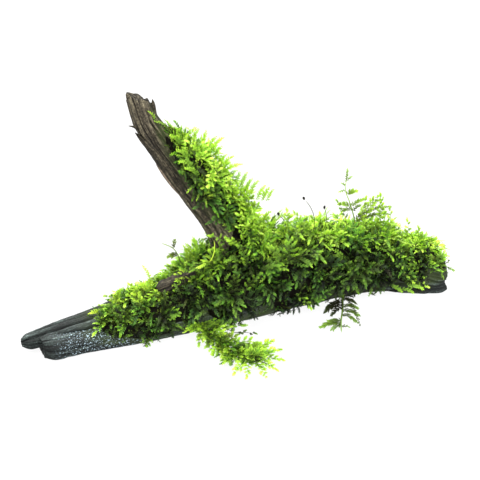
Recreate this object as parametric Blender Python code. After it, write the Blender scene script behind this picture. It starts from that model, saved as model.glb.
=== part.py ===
"""Java moss grown on a piece of driftwood, lying on the flat, split underside of its log.

Blender 4.5, metres, +Z up, +X along the log towards its blunt right end, the moss's full side towards -Y.
The wood is split at its forks into the log, the prong above its left end and the branch that rises from it.
The moss is in clumps, each a lumpy mat with locks of fronds fused to it, and in loose shoots.
"""

import math
from collections import namedtuple

import bmesh
import bpy
import numpy as np

MM = 0.001
GAP = 0.35 * MM  # left between pieces that touch
FLOOR_GAP = 0.4 * MM  # the moss stays this far above what the wood rests on
SECTION_POWER = 2.6  # 2 is an ellipse, and more is squarer
MAT_SIDES, MAT_RINGS = 16, 11
MAT_OVERRUN = 1.12  # a mat's tube runs this much past its reach
MAT_SINK = 2.5 * MM  # how far the tube lies inside the wood beyond the mat's edge
LOCK_SIDES = 5
LOCK_FLATNESS = 0.42  # a lock's thickness over its width
MERGE = 0.002 * MM

# A section of wood: its centre and its half sizes, in millimetres.
Station = namedtuple("Station", "x y z across tall")
# A clump: how far along its limb its middle is, its half length and its depth in millimetres, its middle
# and half spread round the limb in degrees, and how many locks it has and how long they are.
Clump = namedtuple("Clump", "limb along reach middle spread depth locks length seed")
# A shoot: the points of its stem and its radius in millimetres, and its side branches.
Shoot = namedtuple("Shoot", "stem radius sides")
Side = namedtuple("Side", "share tip width")

# The log reaches below z = 0, where its underside is cut flat.
LOG = [
    Station(-105, -3.6, 3.6, 6.2, 4.4),
    Station(-102.5, -3.5, 3.6, 8.6, 4.9),
    Station(-92, -3.6, 3.6, 9.6, 5.2),
    Station(-78, -3.2, 3.8, 10.2, 5.8),
    Station(-62, -2.4, 5.0, 11.4, 9.0),
    Station(-44, -1.0, 7.4, 13.2, 13.0),
    Station(-20, 0.9, 8.6, 15.0, 17.0),
    Station(6, 2.6, 9.4, 16.0, 19.5),
    Station(34, 3.0, 9.0, 15.6, 18.6),
    Station(60, 3.0, 8.4, 14.6, 16.8),
    Station(76, 0.8, 7.8, 14.2, 15.2),
    Station(92, -6.0, 7.4, 14.4, 13.8),
    Station(102, -10.6, 6.9, 14.4, 12.9),
    Station(107, -12.7, 6.4, 13.6, 11.4),
    Station(109.6, -13.5, 6.0, 11.2, 9.2),
]
# The prong lies on the log's left end and reaches past it.
PRONG = [
    Station(-113.6, 1.4, 5.0, 1.6, 1.4),
    Station(-111.5, 1.4, 5.0, 3.8, 2.4),
    Station(-106, 1.5, 5.4, 5.5, 2.9),
    Station(-93, 2.0, 6.6, 7.0, 3.8),
    Station(-83, 2.0, 7.2, 8.0, 4.2),
    Station(-73, 2.0, 8.4, 8.5, 4.8),
    Station(-58, 2.0, 11.0, 8.8, 5.6),
    Station(-42, 2.2, 14.0, 7.6, 4.8),
    Station(-30, 2.4, 15.2, 5.4, 3.6),
]
# The branch rises from the log's middle and leans left and a little back.
BRANCH = [
    Station(6, 3.4, 10, 13.5, 11.0),
    Station(3.5, 3.8, 26, 13.0, 10.6),
    Station(-2.5, 4.4, 40, 10.8, 9.4),
    Station(-9.5, 5.2, 53, 9.2, 8.2),
    Station(-21.5, 6.4, 72, 8.3, 7.2),
    Station(-31.5, 7.6, 88, 7.1, 6.4),
    Station(-39.5, 8.6, 101, 6.3, 5.8),
    Station(-44.2, 9.0, 110, 5.8, 5.2),
    Station(-45.4, 9.2, 116, 5.4, 4.4),
    Station(-46.0, 9.3, 118.5, 4.2, 3.4),
]
# The spike left standing beside the branch's broken tip.
SPIKE = [(-38.5, 9, 100), (-39.2, 9, 107), (-38.6, 9, 113), (-38.0, 9, 118.5)]
SPIKE_RADIUS = 1.9


def smooth(keys, values, at):
    """Values read off a smooth cubic curve through the given ones, with slopes from each point's neighbours."""
    slope = np.gradient(values, keys, axis=0)
    i = np.clip(np.searchsorted(keys, at) - 1, 0, len(keys) - 2)
    width = (keys[i + 1] - keys[i])[:, None]
    t = (at - keys[i])[:, None] / width
    bend = t * t * (3 - 2 * t)
    rise = (t**3 - 2 * t**2 + t) * slope[i] + (t**3 - t**2) * slope[i + 1]
    return values[i] * (1 - bend) + values[i + 1] * bend + rise * width


def distances(points):
    """How far along a line of points each one lies."""
    steps = np.linalg.norm(np.diff(points, axis=0), axis=1)
    return np.concatenate([[0.0], np.cumsum(steps)])


def unit(v):
    """Vectors brought to length 1."""
    return v / np.linalg.norm(v, axis=-1, keepdims=True)


class Limb:
    """A length of driftwood: a squarish oval, fluted section carried along a smooth path."""

    def __init__(self, stations, reference, flutes):
        self.values = np.array(stations) * MM
        self.keys = distances(self.values[:, :3])
        self.reference = np.array(reference, float)
        self.flutes = flutes

    def frame(self, along):
        """Centres, directions, side and up vectors, and half sizes, at distances along the limb."""
        here = smooth(self.keys, self.values, along)
        step = 1 * MM
        ahead = smooth(self.keys, self.values, np.clip(along + step, 0, self.keys[-1]))
        behind = smooth(self.keys, self.values, np.clip(along - step, 0, self.keys[-1]))
        way = unit(ahead[:, :3] - behind[:, :3])
        side = unit(np.cross(self.reference, way))
        return here[:, :3], way, side, np.cross(way, side), here[:, 3], here[:, 4]

    def surface(self, along, angles, lift=0.0):
        """Points on the limb, lifted off it; angle 0 is its side vector and a quarter turn its up vector."""
        centre, _, side, up, across, tall = self.frame(along)
        flute = 1 + sum(
            depth * np.cos(count * angles + phase + twist * along / MM)
            for count, depth, phase, twist in self.flutes
        )
        c, s = np.cos(angles), np.sin(angles)
        box = (np.abs(c) ** SECTION_POWER + np.abs(s) ** SECTION_POWER) ** (-1 / SECTION_POWER)
        wide, high = across * flute * box + lift, tall * flute * box + lift
        return centre + (wide * c)[:, None] * side + (high * s)[:, None] * up

    def outward(self, along, angle):
        """A point on the limb, and the direction straight out of the wood there."""
        spots = self.surface(np.array([along, along + MM, along]), np.array([angle, angle, angle + 0.1]))
        out = unit(np.cross(spots[2] - spots[0], spots[1] - spots[0]))
        centre = self.frame(np.array([along]))[0][0]
        return spots[0], out * np.sign(np.dot(out, spots[0] - centre))

    def rings(self, count, sides, lift, end_shape):
        """The limb's rings of points, closer together near its ends; end_shape pushes the last ring out."""
        even = np.linspace(0, 1, count)
        along = self.keys[-1] * (0.55 * even + 0.45 * (1 - np.cos(even * math.pi)) / 2)
        angles = np.arange(sides) * 2 * math.pi / sides
        rings = np.array([self.surface(np.full(sides, a), angles, lift) for a in along])
        way = self.frame(along)[1]
        rings[0] -= lift * way[0]
        rings[-1] += (end_shape(angles) * MM + lift)[:, None] * way[-1]
        return rings


def broken_tip(angles):
    """How far the branch's end stands out: a tall lobe on its left, a notch and a low lobe."""
    return 3.4 * np.cos(angles) + 1.5 * np.cos(3 * angles + 0.5)


def blunt_end(angles):
    """How far a sawn or worn end stands out: barely uneven."""
    return 0.8 * np.cos(3 * angles + 0.7) + 0.6 * np.cos(5 * angles - 1.1)


def new_object(name, mesh, collection):
    """An object of its own for a mesh, in a collection."""
    obj = bpy.data.objects.new(name, mesh)
    collection.objects.link(obj)
    return obj


def loft(name, rings, collection, floor=None, tip=None):
    """A closed object through rings of points, with a pole at each end and nothing below the floor."""
    count, sides, _ = rings.shape
    poles = [rings[0].mean(0), rings[-1].mean(0) if tip is None else tip]
    points = np.concatenate([rings.reshape(-1, 3), poles])
    if floor is not None:
        points[:, 2] = np.maximum(points[:, 2], floor)
    first, last, end = count * sides, count * sides + 1, (count - 1) * sides
    faces = []
    for i in range(sides):
        j = (i + 1) % sides
        faces += [(first, j, i), (last, end + i, end + j)]
        faces += [(a + i, a + j, a + sides + j, a + sides + i) for a in range(0, end, sides)]
    mesh = bpy.data.meshes.new(name)
    mesh.from_pydata(points.tolist(), [], faces)
    clean(mesh)
    return new_object(name, mesh, collection)


def clean(mesh):
    """Merges doubles, keeps only the largest connected body, and points its faces outwards."""
    bm = bmesh.new()
    bm.from_mesh(mesh)
    bmesh.ops.remove_doubles(bm, verts=bm.verts, dist=MERGE)
    bmesh.ops.triangulate(bm, faces=bm.faces)
    bodies, seen = [], set()
    for start in bm.verts:
        if start in seen:
            continue
        body, edge = {start}, [start]
        while edge:
            vert = edge.pop()
            near = {e.other_vert(vert) for e in vert.link_edges} - body
            body |= near
            edge.extend(near)
        seen |= body
        bodies.append(body)
    largest = max(bodies, key=len)
    bmesh.ops.delete(bm, geom=[v for v in bm.verts if v not in largest], context="VERTS")
    bmesh.ops.recalc_face_normals(bm, faces=bm.faces)
    bm.to_mesh(mesh)
    bm.free()


def blade(name, spine, widths, flat, collection, grow=0.0):
    """A tapered lock of fronds along a spine of points, flattened along flat, with a pointed tip."""
    way = unit(np.gradient(spine, axis=0))
    across = unit(np.cross(way, flat))
    thick = np.cross(across, way)
    angles = np.arange(LOCK_SIDES) * 2 * math.pi / LOCK_SIDES
    half = (widths + grow)[:, None, None]
    thin = (widths * LOCK_FLATNESS + grow)[:, None, None]
    rings = (
        spine[:, None]
        + half * np.cos(angles)[None, :, None] * across[:, None]
        + thin * np.sin(angles)[None, :, None] * thick[:, None]
    )
    rings[0] -= grow * way[0]
    return loft(name, rings[:-1], collection, FLOOR_GAP - grow, spine[-1] + 2 * grow * way[-1])


def lock(name, root, tip, arch, width, collection, grow=0.0):
    """A lock of fronds from its root to its tip, its middle pushed off the straight line by arch."""
    t = np.array([0.0, 0.3, 0.62, 1.0])
    spine = root + t[:, None] * (tip - root) + (4 * t * (1 - t))[:, None] * arch
    spine[:, 2] = np.maximum(spine[:, 2], FLOOR_GAP + LOCK_FLATNESS * width)
    run = unit(tip - root)
    flat = unit(np.cross(run, np.array([run[1], -run[0], 0.3])))
    return blade(name, spine, width * np.array([0.6, 1.0, 0.85, 0.0]), flat, collection, grow)


def lock_layout(clump):
    """Where each lock of a clump stands, how it leans and how long it is: an even spiral with some jitter."""
    draw = np.random.default_rng(clump.seed)
    golden = math.pi * (3 - math.sqrt(5))
    for i in range(clump.locks):
        out = math.sqrt((i + 0.5) / clump.locks) * 0.84
        turn = i * golden + draw.uniform(-0.25, 0.25)
        along = (clump.along + clump.reach * out * math.cos(turn)) * MM
        angle = math.radians(clump.middle + clump.spread * out * math.sin(turn))
        yield along, angle, draw.uniform(-0.4, 0.4), clump.length * MM * draw.uniform(0.75, 1.1)


def mat_depth(clump, along, angles):
    """How far a clump's mat stands off the wood: an uneven dome, which sinks into the wood past its edge."""
    turn = (np.degrees(angles) - clump.middle + 180) % 360 - 180
    rim = 1 - ((along / MM - clump.along) / clump.reach) ** 2 - (turn / clump.spread) ** 2
    lumps = 1 + 0.22 * np.sin(3.1 * angles + 0.27 * along / MM + clump.seed)
    lumps += 0.16 * np.cos(5.3 * angles - 0.43 * along / MM)
    depth = clump.depth * MM * np.sign(rim) * np.abs(rim) ** 0.55 * lumps
    return np.maximum(depth, -MAT_SINK)


def clump_shapes(name, clump, collection, grow=0.0):
    """A clump's mat and its locks, as separate closed shapes."""
    across = np.sin(np.linspace(-1, 1, MAT_RINGS) * math.pi / 2)
    run = (clump.along + clump.reach * MAT_OVERRUN * across) * MM
    angles = np.arange(MAT_SIDES) * 2 * math.pi / MAT_SIDES
    rings = []
    for along in run:
        here = np.full(MAT_SIDES, along)
        rings.append(clump.limb.surface(here, angles, mat_depth(clump, here, angles) + grow))
    shapes = [loft(name + "_mat", np.array(rings), collection, FLOOR_GAP - grow)]
    for i, (along, angle, lean, length) in enumerate(lock_layout(clump)):
        root, out = clump.limb.outward(along, angle)
        droops = out[2] < 0.25
        length *= 0.75 if droops else 1.0
        way = unit(out + np.array([lean, 0.0, -0.35 if droops else 0.45]))
        arch = length * 0.09 * np.array([lean, 0.0, 1.0 if droops else -0.6])
        width = 0.15 * length + 0.6 * MM
        shapes.append(lock(f"{name}_lock{i}", root, root + length * way, arch, width, collection, grow))
    return shapes


def shoot_shapes(name, shoot, collection, grow=0.0):
    """A loose shoot's stem and its side branches, as separate closed shapes."""
    points = np.array(shoot.stem, float) * MM
    keys = distances(points)
    at = np.linspace(0, 1, 2 * len(points))
    spine = smooth(keys, points, at * keys[-1])
    widths = shoot.radius * MM * (1 - 0.6 * at)
    shapes = [blade(name + "_stem", spine, widths, np.array([0.0, -0.5, 0.87]), collection, grow)]
    for i, side in enumerate(shoot.sides):
        root = smooth(keys, points, np.array([side.share * keys[-1]]))[0]
        tip = np.array(side.tip, float) * MM
        arch = np.array([0.0, 0.0, 0.06 * np.linalg.norm(tip - root)])
        shapes.append(lock(f"{name}_side{i}", root, tip, arch, side.width * MM, collection, grow))
    return shapes


def apply_boolean(obj, collection, operation):
    """Joins a collection's shapes to an object, or cuts them from it, and keeps the result as its mesh."""
    modifier = obj.modifiers.new(operation.title(), "BOOLEAN")
    modifier.operand_type = "COLLECTION"
    modifier.collection = collection
    modifier.operation = operation
    modifier.solver = "EXACT"
    evaluated = obj.evaluated_get(bpy.context.evaluated_depsgraph_get())
    mesh = bpy.data.meshes.new_from_object(evaluated)
    obj.modifiers.remove(modifier)
    clean(mesh)
    old, obj.data = obj.data, mesh
    bpy.data.meshes.remove(old)
    mesh.name = obj.name


def join(name, shapes):
    """One object from overlapping closed shapes, the first of which takes up the others."""
    body, extra = shapes[0], shapes[1:]
    body.name = name
    if extra:
        held = bpy.data.collections.new(name + "_joined")
        for obj in extra:
            held.objects.link(obj)
        bpy.context.scene.collection.children.link(held)
        apply_boolean(body, held, "UNION")
        for obj in extra:
            bpy.data.objects.remove(obj)
        bpy.data.collections.remove(held)
    return body


def material(name, colour, roughness):
    """A Principled material of one colour."""
    made = bpy.data.materials.new(name)
    made.use_nodes = True
    shader = made.node_tree.nodes["Principled BSDF"]
    shader.inputs["Base Color"].default_value = (*colour, 1.0)
    shader.inputs["Roughness"].default_value = roughness
    shader.inputs["Metallic"].default_value = 0.0
    return made


def set_material(obj, made):
    """Gives an object one material."""
    obj.data.materials.clear()
    obj.data.materials.append(made)


class Model:
    """Builds the pieces one after the other, each cut back from those before it that it touches."""

    def __init__(self):
        for old in list(bpy.data.objects):
            bpy.data.objects.remove(old)
        self.parts = bpy.data.collections.new("java_moss_on_driftwood")
        self.cutters = bpy.data.collections.new("cutters")
        for made in (self.parts, self.cutters):
            bpy.context.scene.collection.children.link(made)

    def piece(self, name, maker):
        """Makes a piece of maker(grow)'s shapes, and a cutter that is the piece grown by the gap."""
        body = join(name, maker(0.0, self.parts))
        if self.cutters.objects:
            apply_boolean(body, self.cutters, "DIFFERENCE")
        cutter = join(name + "_clearance", maker(GAP, self.cutters))
        cutter.hide_render = True
        cutter.display_type = "WIRE"
        return body


def limb_shapes(name, limb, count, sides, end_shape):
    """A function that makes a limb of wood, cut flat at the height that it rests on."""
    return lambda grow, collection: [
        loft(name, limb.rings(count, sides, grow, end_shape), collection, -grow)
    ]


def spike_shape(collection, grow):
    """The spike beside the branch's tip."""
    spine = np.array(SPIKE, float) * MM
    widths = SPIKE_RADIUS * MM * np.array([1.0, 0.9, 0.6, 0.1])
    return blade("spike", spine, widths, np.array([0.0, -1.0, 0.0]), collection, grow)


def main():
    model = Model()
    up, front = (0, 0, 1), (0, -1, 0)
    log = Limb(LOG, up, [(3, 0.03, 0.4, 0.03), (7, 0.022, 1.0, 0.02)])
    prong = Limb(PRONG, up, [(3, 0.05, 1.2, 0.04), (5, 0.05, 0.2, 0.02)])
    branch = Limb(BRANCH, front, [(3, 0.05, 0.9, 0.015), (8, 0.035, 0.3, 0.01)])

    shoots = {
        "trailing_tuft": Shoot(
            [(-27, -9, 8), (-24, -18, 5), (-19, -28, 3), (-14, -38, 2.4), (-9, -46, 2.2), (-7, -54, 2)],
            3.4,
            [
                Side(0.2, (-34, -27, 3), 3.2),
                Side(0.3, (-9, -26, 4), 3.2),
                Side(0.45, (-25, -42, 2), 3.6),
                Side(0.55, (0, -35, 2), 3.6),
                Side(0.5, (-14, -31, 13), 3.0),
                Side(0.7, (-20, -53, 1.6), 3.4),
                Side(0.8, (3.5, -45, 1.6), 3.4),
                Side(0.75, (-7, -43, 12), 3.0),
                Side(0.85, (-16, -61, 1.4), 3.0),
                Side(0.9, (-2, -57, 1.4), 3.0),
            ],
        ),
        "trailing_sprig": Shoot(
            [(53, -9, 6), (51, -15, 2.6), (47, -24, 1.4), (42.5, -32, 1.2), (38, -42, 1.1)],
            1.0,
            [
                Side(0.3, (39.5, -19, 1.2), 2.0),
                Side(0.35, (54, -22, 1.2), 1.1),
                Side(0.55, (50, -33, 1.2), 1.7),
                Side(0.75, (30.5, -35, 1.2), 2.0),
            ],
        ),
        "tall_sprig": Shoot(
            [(64, 2, 26), (64, 1, 36), (62, 0.5, 46), (58.5, 0, 57), (57.5, 0, 66)],
            0.9,
            [
                Side(0.45, (53.5, -1, 49), 1.0),
                Side(0.5, (70, 0, 47.5), 1.0),
                Side(0.62, (64.5, -0.5, 54.5), 1.3),
                Side(0.78, (54.5, 0.5, 60), 0.9),
                Side(0.3, (83, 1, 40), 1.0),
                Side(0.2, (77, 2, 51), 1.6),
            ],
        ),
        "end_sprig": Shoot(
            [(99, -8, 17), (103, -8, 20.5), (108, -8.2, 21.6), (113.7, -8.6, 20.6)],
            1.0,
            [Side(0.8, (114.8, -11.5, 7), 0.8), Side(0.3, (107, -13, 22), 1.2)],
        ),
        "left_sprig": Shoot(
            [(-30, 3, 22), (-31, 2, 33), (-35, 1, 42), (-41.5, 0, 47)],
            0.9,
            [Side(0.55, (-38, 0, 38), 1.0), Side(0.7, (-34, 1, 46.5), 0.9)],
        ),
    }
    clumps = {
        "moss_branch_clump": Clump(branch, 69, 40, 158, 80, 4.4, 13, 14.5, 3),
        "moss_left_clump": Clump(log, 59, 31, 104, 98, 8.5, 12, 17, 5),
        "moss_right_clump": Clump(log, 167, 32, 100, 108, 11.0, 14, 23, 11),
        "moss_end_clump": Clump(log, 200, 15, 108, 84, 4.2, 8, 10, 2),
        "moss_fork_clump": Clump(log, 112, 41, 102, 118, 12.5, 18, 24, 9),
    }

    branch_shapes = limb_shapes("upright_branch", branch, 15, 16, broken_tip)
    wood = [
        model.piece("main_log", limb_shapes("main_log", log, 18, 22, blunt_end)),
        model.piece("upper_prong", limb_shapes("upper_prong", prong, 12, 12, blunt_end)),
        model.piece(
            "upright_branch",
            lambda grow, place: branch_shapes(grow, place) + [spike_shape(place, grow)],
        ),
    ]
    loose = [
        model.piece(name, lambda grow, place: shoot_shapes(name, shoot, place, grow))
        for name, shoot in shoots.items()
    ]
    mats = [
        model.piece(name, lambda grow, place: clump_shapes(name, clump, place, grow))
        for name, clump in clumps.items()
    ]

    finishes = (
        (wood, material("wet driftwood", (0.07, 0.055, 0.04), 0.45)),
        (mats, material("java moss", (0.10, 0.28, 0.02), 0.6)),
        (loose, material("young java moss", (0.25, 0.5, 0.03), 0.6)),
    )
    corners = np.array([corner[:] for obj in model.parts.objects for corner in obj.bound_box])
    middle = (corners.min(0) + corners.max(0)) / 2
    for objects, made in finishes:
        for obj in objects:
            set_material(obj, made)
            obj.location = (-middle[0], -middle[1], 0.0)


main()
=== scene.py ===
"""Java moss on driftwood: weathered wood and leafy moss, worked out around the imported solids.

The shapes are functions on grids of distance along a limb and angle round it, and of leaf number along a
shoot. They are worked out in millimetres in the wood's own axes: +X along the log towards its blunt end,
-Y the side where the moss is fullest, +Z up. Placement then moves them over the frame's solids.
"""

import logging
import math
from dataclasses import dataclass, field
from enum import Enum
from typing import Any, Callable, Iterable, Sequence

import bpy
import numpy as np
from mathutils import Matrix, Vector


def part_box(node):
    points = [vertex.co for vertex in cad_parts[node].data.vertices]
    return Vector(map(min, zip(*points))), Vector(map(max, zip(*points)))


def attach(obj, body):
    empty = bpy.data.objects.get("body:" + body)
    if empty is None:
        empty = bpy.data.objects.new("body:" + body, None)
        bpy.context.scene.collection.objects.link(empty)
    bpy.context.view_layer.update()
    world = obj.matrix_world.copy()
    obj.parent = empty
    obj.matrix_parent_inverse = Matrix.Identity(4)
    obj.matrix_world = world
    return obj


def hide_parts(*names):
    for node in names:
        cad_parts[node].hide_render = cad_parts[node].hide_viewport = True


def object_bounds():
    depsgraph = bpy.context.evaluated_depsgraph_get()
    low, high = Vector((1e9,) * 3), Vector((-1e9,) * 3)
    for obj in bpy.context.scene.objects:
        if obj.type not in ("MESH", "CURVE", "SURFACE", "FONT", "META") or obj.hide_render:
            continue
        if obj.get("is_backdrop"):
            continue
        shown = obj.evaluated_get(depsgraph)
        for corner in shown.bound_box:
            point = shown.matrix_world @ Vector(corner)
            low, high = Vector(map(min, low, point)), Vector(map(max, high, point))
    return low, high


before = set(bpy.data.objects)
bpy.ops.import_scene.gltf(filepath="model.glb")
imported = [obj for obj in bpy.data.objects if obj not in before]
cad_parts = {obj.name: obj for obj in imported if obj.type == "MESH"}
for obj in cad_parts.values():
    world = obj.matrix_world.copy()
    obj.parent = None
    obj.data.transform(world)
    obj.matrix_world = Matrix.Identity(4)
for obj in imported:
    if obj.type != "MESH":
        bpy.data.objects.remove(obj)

Array = np.ndarray
LOG = logging.getLogger("java_moss")
SOLIDS_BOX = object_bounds()

MM = 0.001
FLOOR_GAP = 0.4  # millimetres between the moss and what the wood rests on
SECTION_POWER = 2.6  # the wood's section: 2 is an ellipse, and more is squarer
MAT_SINK = 2.5  # how deep a bed lies in the wood outside its cushion, in millimetres
LIT_FROM = (0.45, 0.45, 0.77)  # the side the light comes from: moss facing it grows denser, and is painted lighter and yellower
LOW_EDGE = 190.0  # degrees round the log, down to where moss covers its front
BARE_END = (203.0, 210.0)  # between these distances the moss draws back up the log's front
STALK = 0.22  # the radius of a leafless stalk
STRAY = 2.0  # how far a leaf may stand past the solids' box, in millimetres
GRAIN_RADIUS = 11.0  # the width of the wood straightened out for its fibres
GRAIN_STRETCH = 7.0  # how much longer than wide the fibres are
PALETTE_MAP = "OFBake"  # the pieces' own texture map
BED_RINGS, BED_SIDES = 54, 68  # how a cushion's bed is divided
PIT_STRETCH = 1.6  # how much longer than wide a pit in the wood is
CAP_GRAIN = 0.6  # how much finer the grain is on a limb's ends


def unit(vectors: Array) -> Array:
    """Vectors brought to length 1.

    Args:
        vectors: any array whose last axis is x, y, z.

    Returns:
        The same array with each vector divided by its length.
    """
    return vectors / np.maximum(np.linalg.norm(vectors, axis=-1, keepdims=True), 1e-9)


def smooth_curve(keys: Array, values: Array, at: Array) -> Array:
    """Reads a smooth cubic curve through given values, with slopes from each one's neighbours.

    Between two keys it is the Hermite cubic of their values and slopes.

    Args:
        keys: rising distances, one for each value.
        values: rows of numbers, one row for each key.
        at: distances to read the curve at.

    Returns:
        One row of numbers for each distance.
    """
    slope = np.gradient(values, keys, axis=0)
    i = np.clip(np.searchsorted(keys, at) - 1, 0, len(keys) - 2)
    width = (keys[i + 1] - keys[i])[..., None]
    t = (at - keys[i])[..., None] / width
    bend = t * t * (3 - 2 * t)
    rise = (t**3 - 2 * t**2 + t) * slope[i] + (t**3 - t**2) * slope[i + 1]
    return values[i] * (1 - bend) + values[i + 1] * bend + rise * width


def distances(points: Array) -> Array:
    """How far along a line of points each one lies, in the points' units."""
    steps = np.linalg.norm(np.diff(points, axis=0), axis=1)
    return np.concatenate([[0.0], np.cumsum(steps)])


def noise(x: Array, y: Array, seed: int, wrap: int = 0) -> Array:
    """Smooth value noise: random numbers on a square lattice, blended with an S-shaped curve.

    Args:
        x: first coordinate, in lattice cells.
        y: second coordinate, in lattice cells.
        seed: which table of random numbers to use.
        wrap: how many cells round y repeats after, or 0 for no repeat.

    Returns:
        Numbers between -1 and 1.
    """
    size = 256
    table = np.random.default_rng(seed).uniform(-1, 1, (size, size))
    cell_x, cell_y = np.floor(x).astype(int), np.floor(y).astype(int)
    s, t = x - cell_x, y - cell_y
    s, t = s * s * (3 - 2 * s), t * t * (3 - 2 * t)
    repeat = wrap or size
    x0, x1 = cell_x % size, (cell_x + 1) % size
    y0, y1 = cell_y % repeat, (cell_y + 1) % repeat
    low = table[x0, y0] * (1 - s) + table[x1, y0] * s
    high = table[x0, y1] * (1 - s) + table[x1, y1] * s
    return low * (1 - t) + high * t


def ramp01(values: Array, low: float, high: float) -> Array:
    """An S-shaped step that is 0 below low and 1 above high."""
    t = np.clip((values - low) / (high - low), 0, 1)
    return t * t * (3 - 2 * t)


def linear_rgb(code: str) -> tuple[float, float, float, float]:
    """Turns an sRGB hex value into linear colour with full alpha.

    Args:
        code: six hex digits after a hash sign.

    Returns:
        Red, green, blue and alpha.
    """
    parts = [int(code[i : i + 2], 16) / 255 for i in (1, 3, 5)]
    red, green, blue = (p / 12.92 if p <= 0.04045 else ((p + 0.055) / 1.055) ** 2.4 for p in parts)
    return red, green, blue, 1.0


def add_node(
    tree: bpy.types.NodeTree, kind: str, inputs: dict[Any, Any] | None = None, **settings: Any
) -> Any:
    """Adds a shader node with its settings, values and links.

    Args:
        tree: the material's node tree.
        kind: the node's type name.
        inputs: input name or number to a value, or to the output socket that feeds it.
        **settings: the node's own properties.

    Returns:
        The new node.
    """
    made = tree.nodes.new(kind)
    for key, value in settings.items():
        setattr(made, key, value)
    for key, value in (inputs or {}).items():
        if isinstance(value, bpy.types.NodeSocket):
            tree.links.new(value, made.inputs[key])
        else:
            made.inputs[key].default_value = value
    return made


def add_ramp(tree: bpy.types.NodeTree, factor: Any, stops: Sequence[tuple[float, str]]) -> Any:
    """Adds a colour ramp.

    Args:
        tree: the material's node tree.
        factor: the socket that says how far along the ramp to read.
        stops: positions and sRGB hex values.

    Returns:
        The ramp's colour output.
    """
    made = add_node(tree, "ShaderNodeValToRGB", {"Fac": factor})
    elements = made.color_ramp.elements
    while len(elements) < len(stops):
        elements.new(0.5)
    for element, (position, code) in zip(elements, stops):
        element.position = position
        element.color = linear_rgb(code)
    return made.outputs["Color"]


def new_material(name: str) -> tuple[bpy.types.Material, bpy.types.NodeTree, Any]:
    """An empty node material.

    Args:
        name: the material's real name.

    Returns:
        The material, its node tree and its output node.
    """
    made = bpy.data.materials.new(name)
    made.use_nodes = True
    made.node_tree.nodes.clear()
    return made, made.node_tree, made.node_tree.nodes.new("ShaderNodeOutputMaterial")


@dataclass(frozen=True)
class WetDriftwood:
    """Bog wood out of the tank: dark brown-black, weathered to fibres, with a film of water on it.

    The tone_and_shade attribute follows the relief, light on the ridges and dark in the valleys, cracks and
    pits:
    the wood's own mottling with painted shade in its hollows. The stain attribute says where algae have
    greened it, and the wet attribute where pale flecks are painted in as glints of light on the film of
    water. The grain attribute is the wood straightened out and squeezed along its length, so that round
    spots of noise come out as long fibres.
    """

    name: str
    stops: tuple[tuple[float, str], ...]
    stain: str = "#39451F"
    # painted highlight: the pale blue-white of light glinting on the film of water
    bead: str = "#9DB2BC"
    fibre_mm: float = 0.55  # the width of the fibres that show
    grit_mm: float = 0.5  # the size of the pits and crumbs on them
    painted_glint_mm: float = 0.36  # the size of the painted glints of light on the water

    def make(self) -> bpy.types.Material:
        """Builds the material.

        Returns:
            The finished material.
        """
        made, tree, output = new_material(self.name)
        tone_and_shade, stain, wet = (
            add_node(tree, "ShaderNodeAttribute", attribute_name=name).outputs["Fac"]
            for name in ("tone_and_shade", "stain", "wet")
        )
        grain = add_node(tree, "ShaderNodeAttribute", attribute_name="grain").outputs["Vector"]
        place = add_node(tree, "ShaderNodeTexCoord").outputs["Object"]
        fibres = self.noise(tree, grain, self.fibre_mm, 5.0)
        grit = self.noise(tree, place, self.grit_mm, 3.0)
        rough = self.mix(tree, fibres, grit, 0.4)
        mottled = self.mix(tree, tone_and_shade, self.stretch(tree, rough, 0.36, 0.64, 0.0, 1.0), 0.6)
        wood = add_ramp(tree, mottled, self.stops)
        greened = self.blend(tree, stain, wood, self.stain)
        # painted highlight: flecks of pale blue-white in the colour, where the film of water would catch the
        # light
        glint_spots = self.stretch(tree, self.noise(tree, place, self.painted_glint_mm, 2.0), 0.58, 0.68, 0.0, 1.0)
        painted_glints = add_node(tree, "ShaderNodeMath", {0: glint_spots, 1: wet}, operation="MULTIPLY").outputs[0]
        colour = self.blend(tree, painted_glints, greened, self.bead)
        shine = self.stretch(tree, rough, 0.35, 0.65, 0.45, 0.8)
        bump = add_node(tree, "ShaderNodeBump", {"Height": rough, "Strength": 1.0, "Distance": 0.9 * MM})
        shader = add_node(
            tree,
            "ShaderNodeBsdfPrincipled",
            {
                "Base Color": colour,
                "Roughness": shine,
                "IOR": 1.33,
                "Specular IOR Level": 0.25,
                "Normal": bump.outputs[0],
            },
        )
        tree.links.new(shader.outputs[0], output.inputs["Surface"])
        return made

    def noise(self, tree: bpy.types.NodeTree, place: Any, size_mm: float, detail: float) -> Any:
        """Noise whose spots are about size_mm across."""
        inputs = {"Vector": place, "Scale": 1 / (2 * size_mm * MM), "Detail": detail, "Roughness": 0.65}
        return add_node(tree, "ShaderNodeTexNoise", inputs).outputs["Fac"]

    def mix(self, tree: bpy.types.NodeTree, first: Any, second: Any, share: float) -> Any:
        """Two numbers mixed, with the given share of the second."""
        inputs = {"Factor": share, "A": first, "B": second}
        return add_node(tree, "ShaderNodeMix", inputs, data_type="FLOAT").outputs["Result"]

    def blend(self, tree: bpy.types.NodeTree, share: Any, first: Any, code: str) -> Any:
        """A colour mixed with another that is given as sRGB hex."""
        inputs = {"Factor": share, 6: first, 7: linear_rgb(code)}
        return add_node(tree, "ShaderNodeMix", inputs, data_type="RGBA").outputs[2]

    def stretch(
        self, tree: bpy.types.NodeTree, value: Any, low: float, high: float, start: float, end: float
    ) -> Any:
        """A number's range from low to high stretched to run from start to end."""
        inputs = {"Value": value, "From Min": low, "From Max": high, "To Min": start, "To Max": end}
        return add_node(tree, "ShaderNodeMapRange", inputs).outputs[0]


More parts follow.
